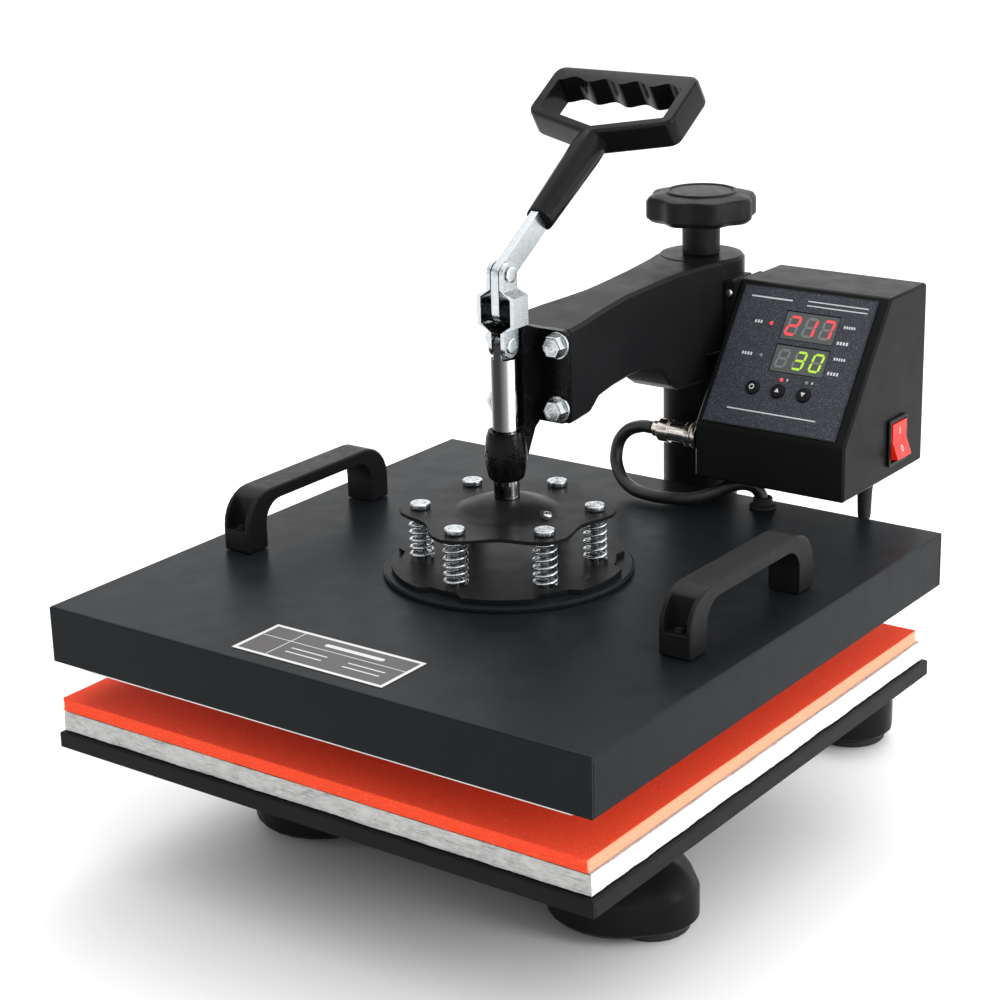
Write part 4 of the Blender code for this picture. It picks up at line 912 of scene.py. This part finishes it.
def add_plate_details():
    """The dome's screw on a dark disc of painted shade in place of its hole, and painted shade
    for the two slots of the lower spring plate.
    """
    hole_shade_disc = turned([(0, -0.0004), (0.0050, -0.0004), (0.0050, 0.0002), (0, 0.0002)], 28)
    # Painted shade: a dark disc where the dome's hole is.
    add("dome_hole_shade", laid(hole_shade_disc, facing(DOME_SLOPE, DOME_SCREW)), "shadow", "plunger")
    add_screw("dome_screw", DOME_SCREW + DOME_SLOPE * 0.0002, DOME_SLOPE, 0.0028, 0.0014,
              "plunger")
    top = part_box("spring_plate_lower")[1].z
    for name, x, y, turn in PLATE_SLOTS:
        pose = Matrix.Translation(press(x, y, top)) @ Matrix.Rotation(radians(turn), 4, "Z")
        slot_shade = prism(rectangle(0.0085, 0.0032, 0.0015, 4), 0, 0.0001)
        # Painted shade: flat dark slabs where the plate's slots are.
        add(f"plate_slot_shade_{name}", laid(slot_shade, pose), "shadow", "platen")


# ---- Cover and knob -----------------------------------------------------------------

LABEL_WIDTH = 0.108
LABEL_DEPTH = 0.040
LABEL_MIDDLE = (-0.0037, -0.1668)
LABEL_FOIL_TOP = 0.0003
LABEL_PRINT_TOP = 0.00036
LABEL_BARS = (
    (0.0105, 0.0042, 0.0825, 0.0006), (-0.0308, 0.0, 0.0006, 0.0352),
    (-0.0410, 0.0042, 0.0200, 0.0006), (0.0105, 0.0105, 0.0420, 0.0034),
    (-0.0110, -0.0030, 0.0260, 0.0011), (-0.0110, -0.0085, 0.0260, 0.0011),
    (0.0300, -0.0030, 0.0260, 0.0011), (0.0300, -0.0085, 0.0260, 0.0011),
)


def frame_outline(width, depth, line, z_low, z_high):
    """A flat rectangular frame."""
    outer = rectangle(width, depth, 0.0004, 2)
    inner = rectangle(width - 2 * line, depth - 2 * line, 0.0003, 2)
    return flat_frame(inner, outer, z_low, z_high)


def flat_frame(inner, outer, z_low, z_high):
    """The solid between two outlines of as many points each."""
    levels = ((inner, z_low), (outer, z_low), (outer, z_high), (inner, z_high))
    return loft([[(*point, z) for point in outline] for outline, z in levels], looped=True)


def printed_bars(bars, low, high, roundness, steps):
    """Flat bars with round corners, each from its middle, width and height."""
    return [shifted(prism(rectangle(wide, tall, min(wide, tall) * roundness, steps), low, high),
                    x, y) for x, y, wide, tall in bars]


def add_label():
    """A rating plate without words: dark foil with a silver border and silver bars."""
    place = Matrix.Translation(press(*LABEL_MIDDLE, COVER_TOP))
    foil = prism(rectangle(LABEL_WIDTH, LABEL_DEPTH, 0.0006, 3), 0.00002, LABEL_FOIL_TOP)
    add("label_foil", laid(foil, place), "label_print", "platen")
    border = frame_outline(LABEL_WIDTH, LABEL_DEPTH, 0.0024, LABEL_FOIL_TOP, LABEL_PRINT_TOP)
    bars = printed_bars(LABEL_BARS, LABEL_FOIL_TOP, LABEL_PRINT_TOP, 0.3, 2)
    add("label_border", laid(joined(border, *bars), place), "silver_print", "platen")


def add_knob_cap():
    """The raised rim and shallow dish on top of the pressure knob."""
    place = box_centre("pressure_knob")
    place.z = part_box("pressure_knob")[1].z
    rim = ring_solid([(0.0205, -0.0008), (0.0212, 0.0006), (0.0222, 0.0009), (0.0232, 0.0006),
                      (0.0240, -0.0010)], 48)
    disc = turned([(0, -0.0006), (0.0200, -0.0006), (0.0200, 0.0001), (0.0120, 0.0004),
                   (0, 0.0005)], 48)
    add("knob_cap", laid(joined(rim, disc), Matrix.Translation(place)), "matt_black_plastic",
        "knob")


# ---- Control panel ------------------------------------------------------------------

PANEL_THICK = 0.001
PANEL_SIDE = 0.0955
DISPLAY_X = 0.00675
DISPLAY_WIDTH = 0.038
RED_DISPLAY = (0.02395, 0.0190)
GREEN_DISPLAY = (0.0012, 0.0181)
DISPLAY_DEPTH = 0.0006
DIGIT_PITCH = 0.0122
DIGIT_SLANT = 0.14
SEGMENTS = {"2": "abged", "1": "bc", "7": "abc", "3": "abgcd", "0": "abcdef", " ": ""}
LAMPS = (
    ("out_lamp", -0.02085, 0.02345, "red_lamp"), ("work_lamp", -0.02105, 0.00105, "dead_segment"),
    ("scale_lamp_left", -0.00115, -0.01325, "red_lamp"),
    ("scale_lamp_right", 0.01655, -0.01285, "dead_segment"),
)
CAPTIONS = (
    (-0.0302, 0.0236, 3, 0.0021), (-0.0312, 0.0012, 4, 0.0021), (0.0340, 0.0275, 5, 0.0018),
    (0.0325, 0.0165, 4, 0.0022), (0.0340, 0.0058, 5, 0.0018), (0.0325, -0.0042, 4, 0.0022),
    (0.0030, -0.0128, 1, 0.0016), (0.0206, -0.0124, 1, 0.0016),
)
BLOCK_WIDTH = 0.62
BLOCK_PITCH = 1.55
RULES = (
    (-0.0010, -0.0368, 0.0640, 0.0008), (0.0215, 0.0415, 0.0430, 0.0007),
    (0.0215, 0.0385, 0.0430, 0.0007), (-0.0260, 0.0405, 0.0300, 0.0010),
)
PRINT_LOW = -0.00001
PRINT_HIGH = 0.00006
BUTTON_ROW = -0.02105
BUTTON_TOP = 0.0017


def panel_face():
    """X across the panel, Y up its slope, Z out of it, from the middle of its front."""
    inward = next(Vector(j["axis"]) for j in frame["joints"] if j["name"] == "set_press")
    normal = -inward.normalized()
    slope = normal.cross(X)
    made = Matrix((X, slope, normal)).transposed().to_4x4()
    made.translation = box_centre("control_panel") + normal * PANEL_THICK / 2
    return made


def segment_bar(a, b, width):
    """A flat bar with pointed ends between two places."""
    a, b = Vector(a), Vector(b)
    way = (b - a).normalized()
    side = Vector((-way.y, way.x)) * width / 2
    tip = way * width / 2
    return [tuple(point) for point in (a, a + tip - side, b - tip - side, b, b - tip + side,
                                       a + tip + side)]


def digit_segments(height):
    """The bars of one upright digit about its middle, by letter."""
    width, bar = height * 0.50, height * 0.12
    x, y = width / 2, height / 2 - bar / 2
    gap = 0.0002
    corners = {
        "a": ((-x + gap, y), (x - gap, y)), "g": ((-x + gap, 0), (x - gap, 0)),
        "d": ((-x + gap, -y), (x - gap, -y)), "f": ((-x, gap), (-x, y - gap)),
        "b": ((x, gap), (x, y - gap)), "e": ((-x, -y + gap), (-x, -gap)),
        "c": ((x, -y + gap), (x, -gap)),
    }
    return {letter: segment_bar(a, b, bar) for letter, (a, b) in corners.items()}


def add_display(name, middle, height, text, finish):
    """A three-digit display: its grey window, unlit bars and lit bars."""
    face = panel_face()
    window = prism(rectangle(DISPLAY_WIDTH - 0.0004, height - 0.0004, 0.0003, 2),
                   -DISPLAY_DEPTH, -DISPLAY_DEPTH + 0.0001)
    add(f"{name}_window", laid(window, face @ Matrix.Translation((DISPLAY_X, middle, 0))),
        "display_grey", "arm")
    slant = Matrix.Identity(4)
    slant[0][1] = DIGIT_SLANT
    bars = {True: [], False: []}
    for place, figure in enumerate(text):
        shift = Matrix.Translation((DISPLAY_X + (place - 1) * DIGIT_PITCH, middle, 0))
        for letter, outline in digit_segments(height * 0.72).items():
            bar = prism(outline, -DISPLAY_DEPTH + 0.0001, -DISPLAY_DEPTH + 0.0002)
            bars[letter in SEGMENTS[figure]].append(laid(bar, face @ shift @ slant))
    add(f"{name}_lit", joined(*bars[True]), finish, "arm")
    add(f"{name}_unlit", joined(*bars[False]), "dead_segment", "arm")


def add_panel_print():
    """Indicator lamps, button marks, thin rules, and plain blocks in place of captions."""
    face = panel_face()
    for name, x, y, finish in LAMPS:
        lens = turned([(0, -0.0003), (0.00125, -0.0003), (0.00125, 0.0002), (0.0008, 0.00065),
                       (0, 0.0008)], 20)
        add(name, laid(lens, face @ Matrix.Translation((x, y, 0))), finish, "arm")
    blocks = []
    for x, y, count, tall in CAPTIONS:
        wide = tall * BLOCK_WIDTH
        for k in range(count):
            block = prism(rectangle(wide, tall, tall * 0.12, 2), PRINT_LOW, PRINT_HIGH)
            across = (k - (count - 1) / 2) * wide * BLOCK_PITCH
            blocks.append(shifted(block, x + across, y))
    blocks += printed_bars(RULES, PRINT_LOW, PRINT_HIGH, 0.4, 3)
    add("panel_captions", laid(joined(*blocks), face), "white_print", "arm")
    # Painted shade: a dark line round the film's edge.
    line = frame_outline(PANEL_SIDE - 0.0006, PANEL_SIDE - 0.0006, 0.0004,
                         PRINT_LOW, PRINT_HIGH)
    add("panel_edge_shade", laid(line, face), "shadow", "arm")
    add_button_marks(face)


def add_button_marks(face):
    """A ring on the first button, and an arrow up and down on the others."""
    low, high = BUTTON_TOP + PRINT_LOW, BUTTON_TOP + PRINT_HIGH
    ring = ring_solid([(0.0012, low), (0.0018, low), (0.0018, high), (0.0012, high)], 24)
    up = prism([(-0.0016, -0.0012), (0.0016, -0.0012), (0, 0.0016)], low, high)
    down = prism([(-0.0016, 0.0012), (0, -0.0016), (0.0016, 0.0012)], low, high)
    for name, mark in (("set", ring), ("up", up), ("down", down)):
        x = box_centre(f"button_{name}").x - face.translation.x
        add(f"button_mark_{name}", laid(mark, face @ Matrix.Translation((x, BUTTON_ROW, 0))),
            "white_print", f"{name}_button")


OVAL_SIDES = 28
ROCKER_TILT = radians(10)
ROCKER_HALF = 0.0118
ROCKER_FACE = 0.0042


def add_rocker_marks():
    """A bar on the pressed half of the rocker and a ring on the other."""
    joint = next(j for j in frame["joints"] if j["name"] == "power_switch")
    placed = Matrix.Translation(joint["pos_m"]) @ Matrix.Rotation(-ROCKER_TILT, 4, "Y")
    bar = prism(rectangle(0.0007, 0.0042), 0, 0.0001)
    ring = frame_ring(0.0014, 0.0022, 0.0005)
    for name, half, mark in (("on", 1, bar), ("off", -1, ring)):
        middle = Vector((ROCKER_FACE + ROCKER_HALF / 2 * sin(ROCKER_TILT), 0,
                         half * ROCKER_HALF / 2))
        normal = Vector((cos(ROCKER_TILT), 0, -half * sin(ROCKER_TILT)))
        up = Vector((half * sin(ROCKER_TILT), 0, cos(ROCKER_TILT)))
        across = up.cross(normal)
        pose = Matrix((across, up, normal)).transposed().to_4x4()
        pose.translation = middle
        add(f"rocker_mark_{name}", laid(mark, placed @ pose), "white_print", "power_rocker")


def frame_ring(half_wide, half_high, line):
    """A flat oval ring."""
    turns = [2 * pi * i / OVAL_SIDES for i in range(OVAL_SIDES)]
    inner, outer = [[((half_wide - shrink) * cos(a), (half_high - shrink) * sin(a))
                     for a in turns] for shrink in (line, 0)]
    return flat_frame(inner, outer, 0, 0.0001)


# ---- CAD nodes ----------------------------------------------------------------------

DRESSES = (
    ("foot_front_left foot_front_right foot_rear_left foot_rear_right",
     "black_rubber", 0.0006, 2),
    ("base_frame", "black_powder", 0.0015, 3),
    ("column", "black_powder", 0.0, 2),
    ("lower_tray box_bracket spring_plate_lower", "black_powder", 0.0004, 2),
    ("press_arm", "black_powder", 0.0016, 3),
    ("box_shell", "black_powder", 0.0009, 3),
    ("box_back spring_plate_upper", "black_powder", 0.0003, 2),
    ("toggle_bracket", "black_casting", 0.0007, 2),
    ("platen_cover hub_disc", "cover_paint", 0.0003, 2),
    ("heat_plate", "plate_aluminium", 0.0004, 2),
    ("handle_left handle_right", "matt_black_plastic", 0.0007, 3),
    ("pressure_knob", "matt_black_plastic", 0.0008, 3),
    ("lever_grip", "gloss_black_plastic", 0.0008, 3),
    ("lever_bar link_left link_right", "zinc_steel", 0.0004, 2),
    ("lift_spindle lift_screw pivot_pin upper_pin", "zinc_steel", 0.0002, 2),
    ("plunger_rod", "chrome_rod", 0.0002, 2),
    ("cable_connector", "nickel", 0.0003, 2),
    ("control_panel", "panel_film", 0.0002, 2),
    ("controller_board", "circuit_board", 0.0, 2),
    ("button_set button_up button_down", "matt_black_plastic", 0.0002, 2),
    ("switch_bezel", "gloss_black_plastic", 0.0003, 2),
    ("switch_rocker", "switch_red", 0.0004, 3),
)


def dress_frame():
    """Finishes and eased edges for the CAD nodes that stay as they are."""
    for nodes, finish, bevel, segments in DRESSES:
        for node in nodes.split():
            dress(node, finish, bevel, segments)
    for i in range(1, FLANGE_BOLTS + 1):
        dress(f"bracket_bolt_{i}", "zinc_steel", 0.0003)
    for i in range(1, SPRING_COUNT + 1):
        dress(f"shoulder_bolt_{i}", "zinc_steel", 0.0003)


# ---- Studio -------------------------------------------------------------------------

FLOOR_REACH = 14.0
SKY_BANDS = (
    ("Z", 0.10, 0.32, 0.90, 0.0),
    ("Z", 0.34, 0.80, 0.06, 1.40),
    ("Y", 0.15, 0.75, 0.0, 1.05),
    ("X", 0.25, 0.90, 0.0, 0.75),
)


def add_floor():
    mesh = bpy.data.meshes.new("floor")
    bm = bmesh.new()
    corners = [(x * FLOOR_REACH, y * FLOOR_REACH, 0) for x, y in rectangle(2, 2)]
    bm.faces.new([bm.verts.new(corner) for corner in corners])
    bm.to_mesh(mesh)
    bm.free()
    plane = bpy.data.objects.new("floor", mesh)
    mesh.materials.append(floor_paper("floor_paper"))
    bpy.context.scene.collection.objects.link(plane)


def add_softbox(name, place, target, width, height, power):
    data = bpy.data.lights.new(name, "AREA")
    data.shape = "RECTANGLE"
    data.size = width
    data.size_y = height
    data.energy = power
    box = bpy.data.objects.new(name, data)
    bpy.context.scene.collection.objects.link(box)
    box.location = place
    box.rotation_mode = "QUATERNION"
    box.rotation_quaternion = (Vector(target) - Vector(place)).to_track_quat("-Z", "Y")


def add_sky():
    """A white sky: a bright horizon, and light from overhead, from behind and the right."""
    world = bpy.data.worlds.new("studio")
    bpy.context.scene.world = world
    world.use_nodes = True
    tree = world.node_tree
    parts = tree.nodes.new("ShaderNodeSeparateXYZ")
    tree.links.new(tree.nodes.new("ShaderNodeTexCoord").outputs["Generated"], parts.inputs[0])
    total = None
    for axis, start, end, low, high in SKY_BANDS:
        band = tree.nodes.new("ShaderNodeMapRange")
        band.interpolation_type = "SMOOTHSTEP"
        for socket, value in (("From Min", start), ("From Max", end),
                              ("To Min", low), ("To Max", high)):
            band.inputs[socket].default_value = value
        tree.links.new(parts.outputs[axis], band.inputs["Value"])
        added = tree.nodes.new("ShaderNodeMath")
        added.inputs[0].default_value = 0.0
        if total:
            tree.links.new(total, added.inputs[0])
        tree.links.new(band.outputs["Result"], added.inputs[1])
        total = added.outputs["Value"]
    sky = tree.nodes["Background"]
    sky.inputs["Color"].default_value = (1.0, 1.0, 1.0, 1.0)
    tree.links.new(total, sky.inputs["Strength"])


def add_studio():
    """The sky, the floor, and a soft box on each side."""
    add_sky()
    bpy.context.scene.view_settings.view_transform = "Standard"
    add_floor()
    middle = (0, 0, 0.2)
    add_softbox("overhead_box", (-0.5, 0.9, 2.0), middle, 1.4, 1.0, 10)
    add_softbox("right_box", (2.1, 0.2, 0.75), middle, 0.8, 1.4, 18)
    add_softbox("left_box", (-1.7, -1.6, 1.0), middle, 0.8, 0.8, 4)


add_camera()
add_mains_cord()
add_heater_cable()
dress_frame()
add_pads()
add_springs()
add_bolt_marks()
add_screws()
add_plate_details()
add_label()
add_knob_cap()
add_display("red_display", *RED_DISPLAY, "217", "red_lamp")
add_display("green_display", *GREEN_DISPLAY, " 30", "green_lamp")
add_panel_print()
add_rocker_marks()
add_studio()
